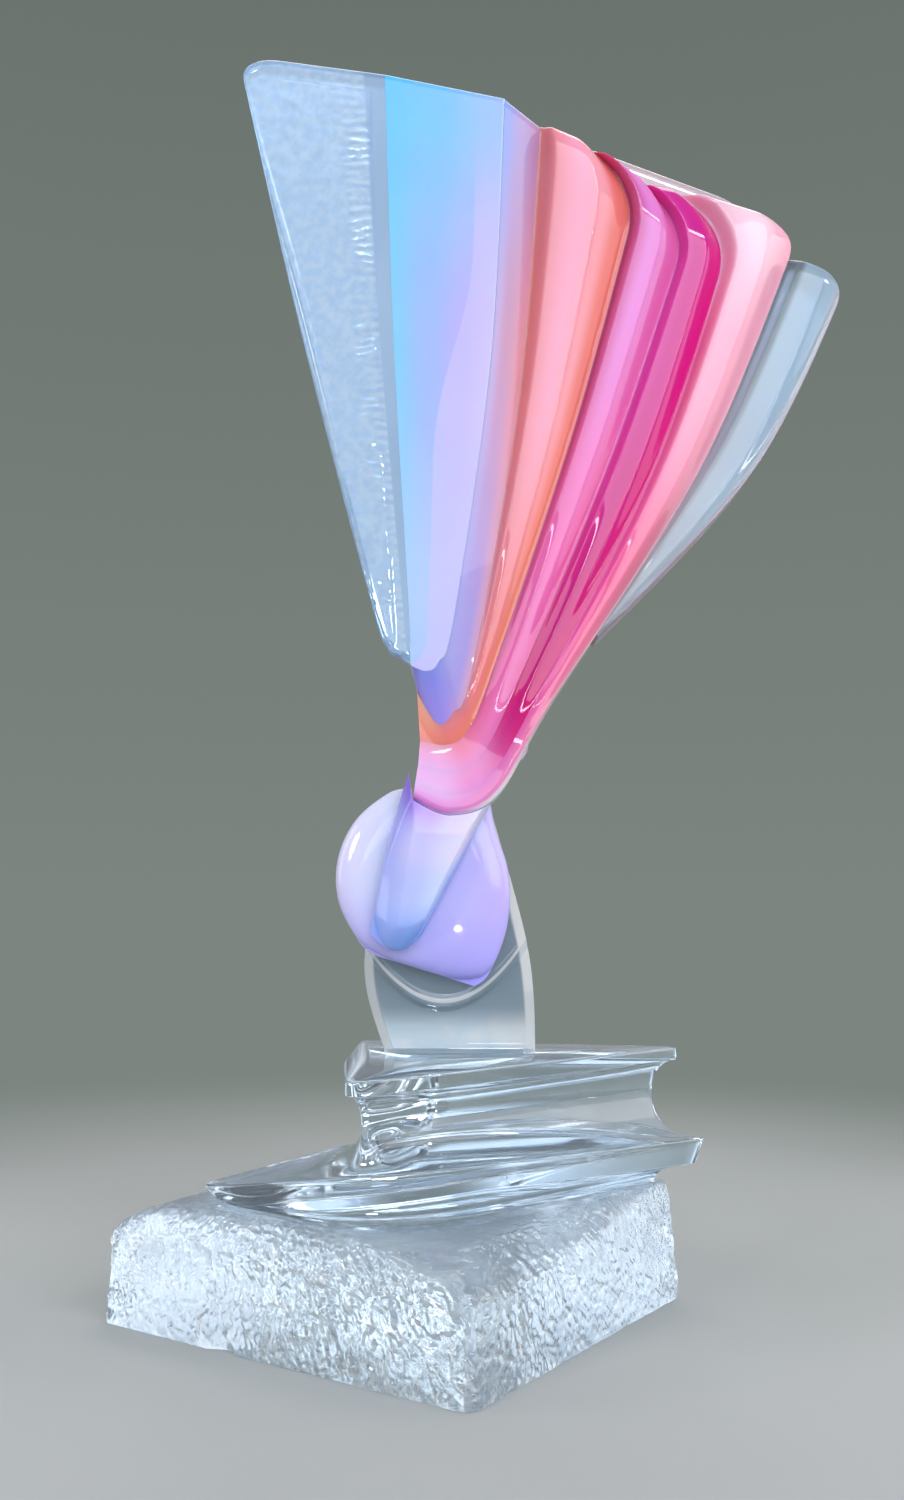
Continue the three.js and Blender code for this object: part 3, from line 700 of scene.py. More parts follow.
def sweep(start, stop, steps, turn_of):
    """Rings between two rings, along a quarter turn."""
    rings = []
    for angle in np.pi / 2 * np.arange(1, steps + 1) / steps:
        aside, up = turn_of(angle)
        rings.append(start + (stop - start) * np.array([aside, aside, up]))
    return rings


def hollow(angle):
    return math.sin(angle), (1 - math.cos(angle)) ** COVE_HOLLOW


def flare(angle):
    return 1 - math.cos(angle), math.sin(angle)


def tower_faces(levels, count):
    """Side faces of stacked rings with a flat cap at each end."""
    at = np.arange(levels * count).reshape(levels, count)
    ahead = np.roll(at, -1, axis=1)
    quads = [at[:-1].ravel(), ahead[:-1].ravel(), ahead[1:].ravel(), at[1:].ravel()]
    faces = np.stack(quads, 1).tolist()
    low, high = levels * count, levels * count + 1
    faces += [(b, a, low) for a, b in zip(at[0].tolist(), ahead[0].tolist())]
    faces += [(a, b, high) for a, b in zip(at[-1].tolist(), ahead[-1].tolist())]
    return faces


def tower(name, slot, rings, across=None, creases=CREASES):
    """A closed piece from stacked rings."""
    places = np.concatenate([*rings, [rings[0].mean(0)], [rings[-1].mean(0)]])
    if across is not None:
        across = np.concatenate([across, across[:2]])
    return make(name, places, tower_faces(len(rings), len(rings[0])), slot, across, creases)


POLISHED_STEPS = dict(corner_steps=14, side_steps=26)
COVE_STEPS = 16
FACE_STEPS = 8
EDGE_STEPS = 5


def round_edge(level, z, edge):
    """Rings of a small rounded edge below a height, from the side to the top."""
    turns = np.linspace(0, np.pi / 2, EDGE_STEPS)
    return [level(z - edge * (1 - math.sin(a)), -edge * (1 - math.cos(a))) for a in turns]


def swept_tier():
    def level(heights, margins=0):
        return ring(corners(LEDGE_PLACES, heights, margins), LEDGE_ROUNDS, **POLISHED_STEPS)

    under_z = tier_bottom + LEDGE_RISES
    top_z = under_z + LEDGE_THICKNESS
    foot = level(tier_bottom, LEDGE_UNDERCUT)
    under = level(under_z, -LEDGE_LEAN)
    edge = round_edge(level, top_z, LEDGE_EDGE)
    plate_rounds = [PLATE_ROUND] * len(PLATE_PLACES)
    neck = ring(corners(PLATE_PLACES, tier_top, -COVE_DEPTH), plate_rounds, **POLISHED_STEPS)
    face = [lerp(under, edge[0], share) for share in np.linspace(0, 1, FACE_STEPS)[1:-1]]
    undercut = sweep(foot, under, COVE_STEPS, flare)
    cove = sweep(edge[-1], neck, COVE_STEPS, hollow)
    return tower("swept_tier", "clear_acrylic", [foot, *undercut, *face, *edge, *cove])


def top_plate():
    rounds = [PLATE_ROUND] * len(PLATE_PLACES)

    def level(z, margin=0):
        return ring(corners(PLATE_PLACES, z, margin), rounds, **POLISHED_STEPS)

    neck = level(plate_bottom, -COVE_DEPTH)
    lip = level(plate_top - PLATE_LIP)
    cove = sweep(neck, lip, COVE_STEPS, flare)
    return tower("top_plate", "clear_acrylic", [neck, *cove, *round_edge(level, plate_top, PLATE_EDGE)])


# Tool marks on the foot block
ROUGH_STEPS = dict(corner_steps=16, side_steps=280)
ROUGH_SIDE_RINGS = 48
ROUGH_SHOULDER_RINGS = 84
SCOOP_SIZE = 5.0
SCOOP_DEPTH = 1.2
NICK_SIZE = 2.0
NICK_DEPTH = 1.15
MARK_MIDDLE = 0.25
STROKE_STRETCH = 0.65
STROKE_SLANT = 0.35
STROKE_SEED = 1
STROKE_BEND = 2.5
STROKE_BEND_SCALE = 0.08
WAVE_DEPTH = 1.2
WAVE_SCALE = 0.045
SMOOTH_CENTRE = np.array([-96.0, -15.0, 56.0])
SMOOTH_REACH = 26
SMOOTH_CALM = 0.85
SWIRL_CENTRE = np.array([23.0, -112.0, 34.0])
SWIRL_PITCH = 5.5
SWIRL_REACH = 20
SWIRL_DEPTH = 0.6
SWIRL_CALM = 0.6
CHIP_CENTRE = np.array([-71.0, -61.0, 0.0])
CHIP_REACH = 9
CHIP_DEPTH = 3
FOOT_CALM = (-3, 4)
FOOT_LEVEL = (1, 4)
SHOULDER_CALM = 3
ROUGH_CREASES = 80


def chisel(place):
    """Heights at a place on the rough block: scoops and nicks with sharp rims, and slow waves."""
    lead = Vector(place)
    bent = lead + STROKE_BEND * noise.noise_vector(lead * STROKE_BEND_SCALE)
    stroke = Vector((bent.x + STROKE_SLANT * bent.z, bent.y, bent.z * STROKE_STRETCH))
    scoop = noise.voronoi(stroke / SCOOP_SIZE)[0][0] ** 2 - MARK_MIDDLE
    nick = noise.voronoi(stroke / NICK_SIZE)[0][0] ** 2 - MARK_MIDDLE
    return SCOOP_DEPTH * scoop + NICK_DEPTH * nick, WAVE_DEPTH * noise.noise(lead * WAVE_SCALE)


def closeness(grid, centre, reach):
    """1 at a centre, fading to 0 beyond its reach."""
    return np.exp(-((np.linalg.norm(grid - centre, axis=-1) / reach) ** 2))


def rough_block():
    noise.seed_set(STROKE_SEED)
    places = foot_corners()
    rounds = [FOOT_CORNER_ROUND] * len(places)
    bottom = ring(corners(places, 0), rounds, **ROUGH_STEPS)
    side = ring(corners(places, FOOT_SIDE_HEIGHT, -FOOT_DRAFT), rounds, **ROUGH_STEPS)
    margins = LEDGE_UNDERCUT + SHOULDER_MARGIN
    shoulder = ring(corners(LEDGE_PLACES, FOOT_HEIGHT, margins), LEDGE_ROUNDS, **ROUGH_STEPS)
    rings = [lerp(bottom, side, k / ROUGH_SIDE_RINGS) for k in range(ROUGH_SIDE_RINGS + 1)]
    rings += sweep(side, shoulder, ROUGH_SHOULDER_RINGS, flare)
    grid = np.array(rings)
    along = np.roll(grid, -1, axis=1) - np.roll(grid, 1, axis=1)
    up = np.gradient(grid, axis=0)
    normals = np.cross(along, up)
    normals /= np.linalg.norm(normals, axis=-1, keepdims=True)
    marks = np.array([[chisel(p) for p in row] for row in grid])
    # The relief's height goes into the map, where the material paints shade in the scoops and highlights on
    # their rims.
    relief = 0.5 + marks[..., 0] / (SCOOP_DEPTH + NICK_DEPTH)
    depth = marks.sum(-1)
    depth *= 1 - SMOOTH_CALM * closeness(grid, SMOOTH_CENTRE, SMOOTH_REACH)
    swirl = np.linalg.norm(grid - SWIRL_CENTRE, axis=-1)
    near_swirl = closeness(grid, SWIRL_CENTRE, SWIRL_REACH)
    depth *= 1 - SWIRL_CALM * near_swirl
    depth += SWIRL_DEPTH * np.sin(2 * np.pi * swirl / SWIRL_PITCH) * near_swirl
    height = grid[..., 2]
    depth *= smooth(height, *FOOT_CALM) * (1 - smooth(height, FOOT_HEIGHT - SHOULDER_CALM, FOOT_HEIGHT))
    depth -= CHIP_DEPTH * (1 - smooth(np.linalg.norm(grid - CHIP_CENTRE, axis=-1), 0, CHIP_REACH))
    normals[..., 2] *= smooth(height, *FOOT_LEVEL)
    grid = grid + normals * depth[..., None]
    across = np.stack([relief, 0 * relief], -1).reshape(-1, 2)
    return tower("foot_block", "frosted_acrylic", list(grid), across, ROUGH_CREASES)


# Materials
def colour(code):
    """A linear colour from a web colour code."""
    parts = [int(code[k : k + 2], 16) / 255 for k in (1, 3, 5)]
    return (*[p / 12.92 if p <= 0.04045 else ((p + 0.055) / 1.055) ** 2.4 for p in parts], 1)


class Nodes:
    """Short ways to build a tree of nodes."""

    def __init__(self, tree):
        self.tree = tree

    def add(self, kind, inputs=None, **settings):
        made = self.tree.nodes.new(kind)
        for key, value in settings.items():
            setattr(made, key, value)
        for key, value in (inputs or {}).items():
            self.set(made.inputs[key], value)
        return made

    def set(self, socket, value):
        if isinstance(value, bpy.types.NodeSocket):
            self.tree.links.new(value, socket)
        else:
            socket.default_value = value

    def math(self, operation, *values):
        return self.add("ShaderNodeMath", dict(enumerate(values)), operation=operation).outputs[0]

    def parts(self, vector):
        return self.add("ShaderNodeSeparateXYZ", {"Vector": vector}).outputs

    def ramp(self, factor, stops, interpolation="EASE"):
        made = self.add("ShaderNodeValToRGB", {"Fac": factor})
        made.color_ramp.interpolation = interpolation
        while len(made.color_ramp.elements) < len(stops):
            made.color_ramp.elements.new(0.5)
        for element, (place, code) in zip(made.color_ramp.elements, stops):
            element.position = place
            element.color = colour(code)
        return made.outputs["Color"]

    def range(self, value, low, high, to_low=0.0, to_high=1.0, interpolation="SMOOTHSTEP"):
        ends = {"From Min": low, "From Max": high, "To Min": to_low, "To Max": to_high}
        made = self.add("ShaderNodeMapRange", {"Value": value, **ends}, interpolation_type=interpolation)
        return made.outputs["Result"]

    def blend(self, factor, first, second, kind="MIX"):
        inputs = {0: factor, 6: first, 7: second}
        return self.add("ShaderNodeMix", inputs, data_type="RGBA", blend_type=kind).outputs[2]

    def either(self, factor, first, second):
        return self.add("ShaderNodeMixShader", {0: factor, 1: first, 2: second}).outputs[0]

    def background(self, tint, strength=1.0):
        return self.add("ShaderNodeBackground", {"Color": tint, "Strength": strength}).outputs[0]


class Shader(Nodes):
    """A material with one polished or rough surface."""

    def __init__(self, name):
        self.material = bpy.data.materials.new(name)
        self.material.use_nodes = True
        super().__init__(self.material.node_tree)
        self.surface = self.tree.nodes["Principled BSDF"]

    def finish(self, **inputs):
        for key, value in inputs.items():
            self.set(self.surface.inputs[key.replace("_", " ").title().replace("Ior", "IOR")], value)
        return self.material

    def place(self):
        return self.add("ShaderNodeTexCoord").outputs["Object"]

    def map(self):
        """The piece's own map: across it and along it, or the height of its relief."""
        return self.parts(self.add("ShaderNodeUVMap", uv_map="st").outputs["UV"])

    def noise(self, scale, detail=3.0, stretch=None):
        place = self.place()
        if stretch:
            place = self.add("ShaderNodeMapping", {"Vector": place, "Scale": stretch}).outputs[0]
        made = self.add("ShaderNodeTexNoise", {"Vector": place, "Scale": scale, "Detail": detail})
        return made.outputs["Fac"]

    def clouded(self, tints, scale, spread, detail=3.0):
        """Two tints mixed by noise."""
        return self.blend(self.range(self.noise(scale, detail), *spread), *[colour(code) for code in tints])

    def wear(self, scale, low, high):
        """A roughness that varies a little with wear."""
        return self.range(self.noise(scale, WEAR_DETAIL), *WEAR_SPREAD, low, high)

    def bump(self, height, strength, distance):
        made = self.add("ShaderNodeBump", {"Height": height, "Strength": strength, "Distance": distance})
        return made.outputs["Normal"]


IOR = 1.49
WHITE = "#FFFFFF"
WEAR_DETAIL = 5.0
WEAR_SPREAD = (0.35, 0.75)
CLEAR_WEAR = dict(scale=60.0, low=0.01, high=0.05)
CLEAR_CLOUDS = dict(scale=9.0, spread=(0.35, 0.7))
CLEAR_TINTS = ("#EAF3FA", "#DCE9F4")
CLEAR_TRANSMISSION = 0.92
BACKING_TINTS = ("#FAE4EE", "#F0DAE6")
BACKING_TRANSMISSION = 0.6


def clear_acrylic(name, tints, transmission):
    shader = Shader(name)
    return shader.finish(
        base_color=shader.clouded(tints, **CLEAR_CLOUDS),
        roughness=shader.wear(**CLEAR_WEAR),
        ior=IOR,
        transmission_weight=transmission,
    )


VEIL_TINTS = ("#BADAFC", "#D0E8FF")
VEIL_GRAIN = dict(scale=260.0, spread=(0.3, 0.7), detail=2.0)
VEIL_TRANSMISSION = 0.58
RIM_TINTS = ("#B8D6F6", "#A8CAEC")
RIM_FROM = (0.84, 0.87)
BAR_GLINT_TINTS = ("#AED0F6", "#E2F2FF")
BAR_SOFTNESS = 0.9
BAR_SWAY = 9.0
BAR_SWAY_SCALE = 70.0
BAR_COLUMN_FROM = (0.76, 0.9)
BAR_COLUMN_RAGGED = 0.3
BAR_COLUMN_SCALE = 110.0
BAR_PATCH_SCALE = 150.0
BAR_PATCH_SPREAD = (0.4, 0.6)
BAR_PATCH_SHARES = (0.05, 0.65)


def veiled_acrylic():
    """Clear acrylic with a mottled pale blue veil, and a column of short bars near the seam: painted glints
    and shade at the pitch of the pocket's ripples.
    """
    shader = Shader("veiled_clear_acrylic")
    across = shader.map()["X"]
    # Painted glints and shade: lighter and darker bars at the pitch of the pocket's ripples.
    height = shader.parts(shader.place())["Z"]
    turns = shader.math("MULTIPLY", height, 2 * math.pi / (SAW_PITCH * MM))
    swayed = shader.math("MULTIPLY_ADD", shader.noise(BAR_SWAY_SCALE), BAR_SWAY, turns)
    wave = shader.range(shader.math("SINE", swayed), -BAR_SOFTNESS, BAR_SOFTNESS)
    bars = shader.blend(wave, *[colour(code) for code in BAR_GLINT_TINTS])
    ragged = shader.math("MULTIPLY_ADD", shader.noise(BAR_COLUMN_SCALE), BAR_COLUMN_RAGGED, across)
    column = shader.range(ragged, *BAR_COLUMN_FROM)
    patches = shader.range(shader.noise(BAR_PATCH_SCALE), *BAR_PATCH_SPREAD, *BAR_PATCH_SHARES)
    veil = shader.clouded(VEIL_TINTS, **VEIL_GRAIN)
    base = shader.blend(shader.math("MULTIPLY", column, patches), veil, bars)
    rim = shader.clouded(RIM_TINTS, **CLEAR_CLOUDS)
    return shader.finish(
        base_color=shader.blend(shader.range(across, *RIM_FROM), base, rim),
        roughness=shader.wear(**CLEAR_WEAR),
        ior=IOR,
        transmission_weight=VEIL_TRANSMISSION,
    )


STEM_TINT = "#A2B2BE"
STEM_TRANSMISSION = 0.55
# The stem's pale foot is a painted reflection. Its white bevels and the white line by its bead are painted
# highlights.
FOOT_REFLECTION_TINTS = ("#E4F4FF", WHITE)
FOOT_REFLECTION_CLOUDS = dict(scale=40.0, spread=(0.4, 0.6))
FOOT_REFLECTION_FADES = (8, 24)
LEFT_BEVEL_HIGHLIGHT_TO = (0.05, 0.07)
RIGHT_BEVEL_HIGHLIGHT_FROM = (0.93, 0.95)
BEAD_HIGHLIGHT_FADES = (0.6, 1.4)


def stem_acrylic():
    """Clear acrylic with a painted pale reflection on its foot, painted white highlights on its bevels and
    a painted white highlight line along the bead.
    """
    shader = Shader("stem_clear_acrylic")
    place = shader.parts(shader.place())
    across = shader.map()["X"]
    # Painted reflection: a pale foot that fades out upward into the stem's tint.
    above_foot = shader.range(place["Z"], *[(stem_bottom + height) * MM for height in FOOT_REFLECTION_FADES])
    base = shader.blend(above_foot, shader.clouded(FOOT_REFLECTION_TINTS, **FOOT_REFLECTION_CLOUDS), colour(STEM_TINT))
    # Painted highlights: white along both bevels.
    base = shader.blend(shader.range(across, *LEFT_BEVEL_HIGHLIGHT_TO), colour(WHITE), base)
    base = shader.blend(shader.range(across, *RIGHT_BEVEL_HIGHLIGHT_FROM), base, colour(WHITE))
    # Painted highlight: a white line along the bead above the recess.
    aside = shader.math("SUBTRACT", place["X"], STEM_RECESS_X * MM)
    bend = shader.math("MULTIPLY", shader.math("MULTIPLY", aside, aside), STEM_RECESS_BEND / MM)
    bead_z = (stem_bottom + STEM_RECESS_TOP + STEM_BEAD_ABOVE) * MM
    above_bead = shader.math("SUBTRACT", shader.math("SUBTRACT", place["Z"], bend), bead_z)
    off_bead = shader.range(shader.math("ABSOLUTE", above_bead), *[off * MM for off in BEAD_HIGHLIGHT_FADES])
    return shader.finish(
        base_color=shader.blend(off_bead, colour(WHITE), base),
        roughness=shader.wear(**CLEAR_WEAR),
        ior=IOR,
        transmission_weight=STEM_TRANSMISSION,
    )


# Painted shade and highlight: pale blue low in the scoops, white on their rims.
SCOOP_SHADE_TINTS = [(0.2, "#DCEDFD"), (0.5, "#ECF6FF"), (0.85, WHITE)]
GRAIN = dict(scale=260.0, detail=4.0, stretch=(1, 1, 0.5))
GRAIN_SPREAD = (0.3, 0.7)
GRAIN_ROUGHNESS = (0.02, 0.08)
GRAIN_STRENGTH = 0.12
GRAIN_HEIGHT = 1.2
BLOCK_TRANSMISSION = 0.9


def frosted_acrylic():
    """Tool-marked acrylic with painted light by its relief: painted white highlights on the rims of its
    scoops and painted pale blue shade inside them.
    """
    shader = Shader("frosted_acrylic")
    grain = shader.noise(**GRAIN)
    return shader.finish(
        base_color=shader.ramp(shader.map()["X"], SCOOP_SHADE_TINTS),
        roughness=shader.range(grain, *GRAIN_SPREAD, *GRAIN_ROUGHNESS),
        ior=IOR,
        transmission_weight=BLOCK_TRANSMISSION,
        normal=shader.bump(grain, GRAIN_STRENGTH, GRAIN_HEIGHT * MM),
    )


TONGUE_TINT = "#C8BCF8"
TONGUE_FROM = 0.72
TONGUE_TO = 0.87
TONGUE_END = 0.96
TONGUE_LOW = 0.42
TONGUE_HIGH = 0.76
TONGUE_BLUR = 0.02
TONGUE_SHARE = 0.6
SHADE_SCALE = 14.0
SHADE_DETAIL = 2.0
SHADE_SPREAD = (0.3, 0.7)
SHADE_TO = (0.94, 1.0)
COLOUR_WEAR = dict(scale=70.0, low=0.02, high=0.06)
GLOW_WEIGHT = 0.3
GLOW_DEPTH = 12
RIGHT_TRANSMISSION = 0.62


def coloured_acrylic(name, levels, transmission=0.0, tongue=None):
    """Translucent coloured acrylic, with its own run of colours across the piece at each level along it.

    A tongue is a paler colour to the right of a slanting line.
    """
    shader = Shader(name)
    place = shader.map()
    across, along = place["X"], place["Y"]
    base = shader.ramp(across, levels[0][1])
    for (below, _), (level, stops) in zip(levels, levels[1:]):
        base = shader.blend(shader.range(along, below, level), base, shader.ramp(across, stops))
    if tongue:
        line = shader.range(along, TONGUE_FROM, TONGUE_TO, TONGUE_LOW, TONGUE_HIGH)
        past = shader.range(shader.math("SUBTRACT", across, line), 0.0, TONGUE_BLUR)
        fade = shader.range(along, TONGUE_TO, TONGUE_END, TONGUE_SHARE, 0.0)
        base = shader.blend(shader.math("MULTIPLY", past, fade), base, colour(tongue))
    shade = shader.range(shader.noise(SHADE_SCALE, SHADE_DETAIL), *SHADE_SPREAD, *SHADE_TO)
    grey = shader.add("ShaderNodeCombineColor", {"Red": shade, "Green": shade, "Blue": shade})
    return shader.finish(
        base_color=shader.blend(1.0, base, grey.outputs["Color"], "MULTIPLY"),
        roughness=shader.wear(**COLOUR_WEAR),
        ior=IOR,
        transmission_weight=transmission,
        subsurface_weight=GLOW_WEIGHT,
        subsurface_scale=GLOW_DEPTH * MM,
    )


# Colours of the layers: at each level along a piece, a run of colours from its left side to its right. Some
# runs also carry painted light (highlights, shade and reflections), as said at each.
# The blue layer's last, near-white stops at its right side are a painted highlight line along its rounded
# right edge.
BLUE = [
    (0.0, [(0.0, "#A9C6F6"), (1.0, "#A2A8F0")]),
    (0.6, [(0.0, "#A6C4F2"), (0.5, "#AEC2FA"), (0.975, "#BDBFF2"), (0.99, "#F4F2FF")]),
    (0.8, [(0.0, "#74C2F6"), (0.35, "#96B0FA"), (0.7, "#B4A8EE"), (0.98, "#CDB6F4"), (0.99, "#F4F0FF")]),
    (0.97, [(0.0, "#5CC2FA"), (0.4, "#6FC0FC"), (0.985, "#9BBDFB"), (0.995, "#DCE8FF")]),
]
LAVENDER = [
    (0.25, [(0.0, "#8E92EA"), (1.0, "#A592EA")]),
    (0.6, [(0.0, "#B3AEEC"), (0.6, "#B4A6E8"), (1.0, "#DEAACE")]),
    (0.82, [(0.0, "#C7B0E2"), (0.4, "#CC98BE"), (1.0, "#EC9AA6")]),
    (0.97, [(0.0, "#98AEF6"), (0.5, "#BAA6DC"), (1.0, "#C48EBA")]),
]
CORAL = [
    (0.08, [(0.0, "#F4A890"), (1.0, "#F08478")]),
    (0.26, [(0.0, "#E8848C"), (1.0, "#F47E70")]),
    (0.6, [(0.0, "#DA8498"), (0.5, "#F08080"), (1.0, "#F8866E")]),
    (0.85, [(0.0, "#DC7C7C"), (0.5, "#F6A0BC"), (0.72, "#FAA0AC"), (0.88, "#F47C74"), (1.0, "#EC7068")]),
]
ORCHID = [
    (0.12, [(0.0, "#EE94B4"), (0.5, "#ECA0D4"), (1.0, "#EAA8E0")]),
    (0.35, [(0.0, "#F0789C"), (1.0, "#EE88C4")]),
    (0.7, [(0.0, "#C84880"), (0.3, "#E868AC"), (0.6, "#F074B8"), (1.0, "#F0569E")]),
    (0.9, [(0.0, "#B03468"), (0.15, "#D05CA0"), (0.45, "#E484D2"), (1.0, "#EC68B0")]),
]
MAGENTA = [
    (0.12, [(0.0, "#EAA8E0"), (1.0, "#E8ACE4")]),
    (0.35, [(0.0, "#EE88C4"), (1.0, "#EA80C8")]),
    (0.6, [(0.0, "#D42476"), (0.4, "#C61678"), (1.0, "#DA1678")]),
    (0.9, [(0.0, "#DA44A6"), (0.4, "#CE2290"), (1.0, "#E01484")]),
]
# At the two lowest levels the rose layer's right side turns near white. This paler strip stands for its
# clear bevel and carries a painted highlight along it.
ROSE = [
    (0.12, [(0.0, "#E8ACE4"), (0.6, "#DE88D4"), (0.9, "#E08CD0"), (0.96, "#F8EAF6"), (1.0, "#FFFFFF")]),
    (0.4, [(0.0, "#E87CC4"), (0.7, "#E886BE"), (0.88, "#F4D8EA"), (1.0, "#FFFFFF")]),
    (0.7, [(0.0, "#EE4C9C"), (0.5, "#F4749E"), (0.9, "#DE8098"), (1.0, "#D8A6B4")]),
    (0.88, [(0.0, "#EC649E"), (0.3, "#F8ACC6"), (1.0, "#F8A2BA")]),
    (0.99, [(0.0, "#ECB0CA"), (0.5, "#FFD6E6"), (1.0, "#F8A6BC")]),
]
# The clear right layer's runs are painted light. The grey at its left side is painted shade in its groove,
# the pale blue across its middle is a painted reflection on its crest, and the pink at its edges paints the
# rose layer's colour refracted through them.
RIGHT_PAINTED_LIGHT = [
    (0.0, [(0.0, "#E8C4D4"), (0.3, "#D8DCE8"), (0.9, "#DCE8F4"), (1.0, "#F0B8CC")]),
    (0.9, [
        (0.0, "#88949C"), (0.22, "#98A6B0"), (0.32, "#D6EBFF"),
        (0.8, "#C8E4FF"), (0.95, "#E8EEF6"), (1.0, "#F4C8D8"),
    ]),
]
DISC = [
    (0.1, [(0.0, "#C2BCFC"), (1.0, "#AEA8FA")]),
    (0.5, [(0.0, "#E0DCFE"), (0.3, "#DCE2FE"), (0.6, "#CCC4FC"), (1.0, "#C4B6FC")]),
    (0.95, [(0.0, "#DCE4FC"), (0.5, "#D2C8FC"), (1.0, "#CCC4F8")]),
]
WEDGE = [
    (0.05, [(0.0, "#96B0FC"), (1.0, "#84ACF8")]),
    (0.35, [(0.0, "#AEB8FA"), (0.5, "#BEC8FC"), (0.85, "#CEDAFC"), (1.0, "#84ACF6")]),
    (0.7, [(0.0, "#B0B4FA"), (0.3, "#D0CAFC"), (0.9, "#E4DEFC"), (1.0, "#A0B2F4")]),
    (0.97, [(0.0, "#8E74E0"), (0.3, "#C6A4F0"), (0.6, "#DCCCFA"), (1.0, "#E6DEFC")]),
]


def dress(obj, material):
    obj.data.materials.append(material)


clear = clear_acrylic("clear_acrylic", CLEAR_TINTS, CLEAR_TRANSMISSION)
for obj in (swept_tier(), top_plate()):
    dress(obj, clear)
dress(stem(), stem_acrylic())
# The clear right layer takes painted shade, a painted reflection and painted pink rims from its colour
# runs.
dress(right_blade(), coloured_acrylic("clear_acrylic_painted_reflection", RIGHT_PAINTED_LIGHT, RIGHT_TRANSMISSION))
dress(backing(), clear_acrylic("pale_clear_acrylic", BACKING_TINTS, BACKING_TRANSMISSION))
dress(rough_block(), frosted_acrylic())
dress(disc(), coloured_acrylic("deep_lavender_acrylic", DISC))
dress(wedge(), coloured_acrylic("lavender_tongue_acrylic", WEDGE))

free = {"left": FACET_EDGE, "top": FACET_EDGE}
clear_left = blade(
    "clear_left",
    "left_edge",
    "clear_blue",
    corners_round=(CLEAR_CORNER, 0),
    back=clear_back,
    gap=SEAM_GAP,
    rows=pocket_rows,
    columns=crowded(POCKET_COLUMNS),
    soft=free,
    back_soft=free,
    depth=FACET_EDGE,
)
dress(clear_left, veiled_acrylic())
blue = blade(
    "blue",
    "clear_blue",
    "blue_lavender",
    seam_edges=("right",),
    soft={"top": FACET_EDGE},
    back_soft={"top": FACET_EDGE},
    depth=FACET_EDGE,
)
dress(blue, coloured_acrylic("blue_acrylic", BLUE, tongue=TONGUE_TINT))
lavender = blade(
    "lavender",
    "blue_lavender",
    "lavender_coral",
    soft={"top": NECK_EDGE, "bottom": NECK_EDGE},
    back_soft={"top": NECK_EDGE},
    depth=NECK_EDGE,
)
dress(lavender, coloured_acrylic("lavender_acrylic", LAVENDER))


def rose_bevel(t):
    """Width of the bevel along the rose layer's outer side, which fades below the clear right layer."""
    return ROSE_BEVEL * (1 - smooth(t, ROSE_BEVEL_FADES_FROM, RIGHT_BLADE_START))


RIDGES = [
    ("coral", "lavender_coral", "coral_orchid", CORAL_CROWN, 0, {}, CORAL),
    ("orchid", "coral_orchid", "orchid_magenta", ORCHID_CROWN, 0, {}, ORCHID),
    ("magenta", "orchid_magenta", "magenta_rose", MAGENTA_CROWN, 0, {}, MAGENTA),
    ("rose", "magenta_rose", "rose_clear", ROSE_CROWN, ROSE_CORNER, {"right": rose_bevel}, ROSE),
]
for name, left, right, crown, corner, bevel, levels in RIDGES:
    soft = {"top": TOP_EDGE, **bevel}
    made = blade(name, left, right, crown, (0, corner), soft=soft, back_soft={}, depth=TOP_EDGE)
    dress(made, coloured_acrylic(f"{name}_acrylic", levels))


# Camera at the photograph's place
CAMERA_PLACE = (24, -646, 186)
CAMERA_PITCH = 6.317
CAMERA_CLIP = 10
FOCAL_PIXELS = 1355
FRAME_HEIGHT = 1500
SENSOR = 36
camera = bpy.data.objects.new("camera", bpy.data.cameras.new("camera"))
bpy.context.scene.collection.objects.link(camera)
camera.location = [c * MM for c in CAMERA_PLACE]
camera.rotation_euler = (math.radians(90 + CAMERA_PITCH), 0, 0)
camera.data.sensor_width = SENSOR
camera.data.lens = SENSOR * FOCAL_PIXELS / FRAME_HEIGHT
camera.data.clip_start = CAMERA_CLIP * MM
bpy.context.scene.camera = camera


# Studio: a pale floor, soft boxes, and a plain backdrop from the world
BACKDROP = "#7C8580"
BACKDROP_STOPS = [(0.0, BACKDROP), (0.6, "#6A736E")]
BACKDROP_EDGE = (0.7, 0.88)
SIDES = "#CFE2F4"
SIDES_STRENGTH = 1.6
FILL = "#F4F7FA"
FILL_STRENGTH = 0.31
FLOOR_TINTS = ("#B6BAB9", "#BDC0BF")
FLOOR_CLOUDS = dict(scale=3.0, spread=(0.3, 0.7))
FLOOR_ROUGHNESS = 0.8
FLOOR_RADIUS = 6000
FLOOR_SIDES = 96
FLOOR_PALE_TO = 230
FLOOR_DIM_FROM = 900


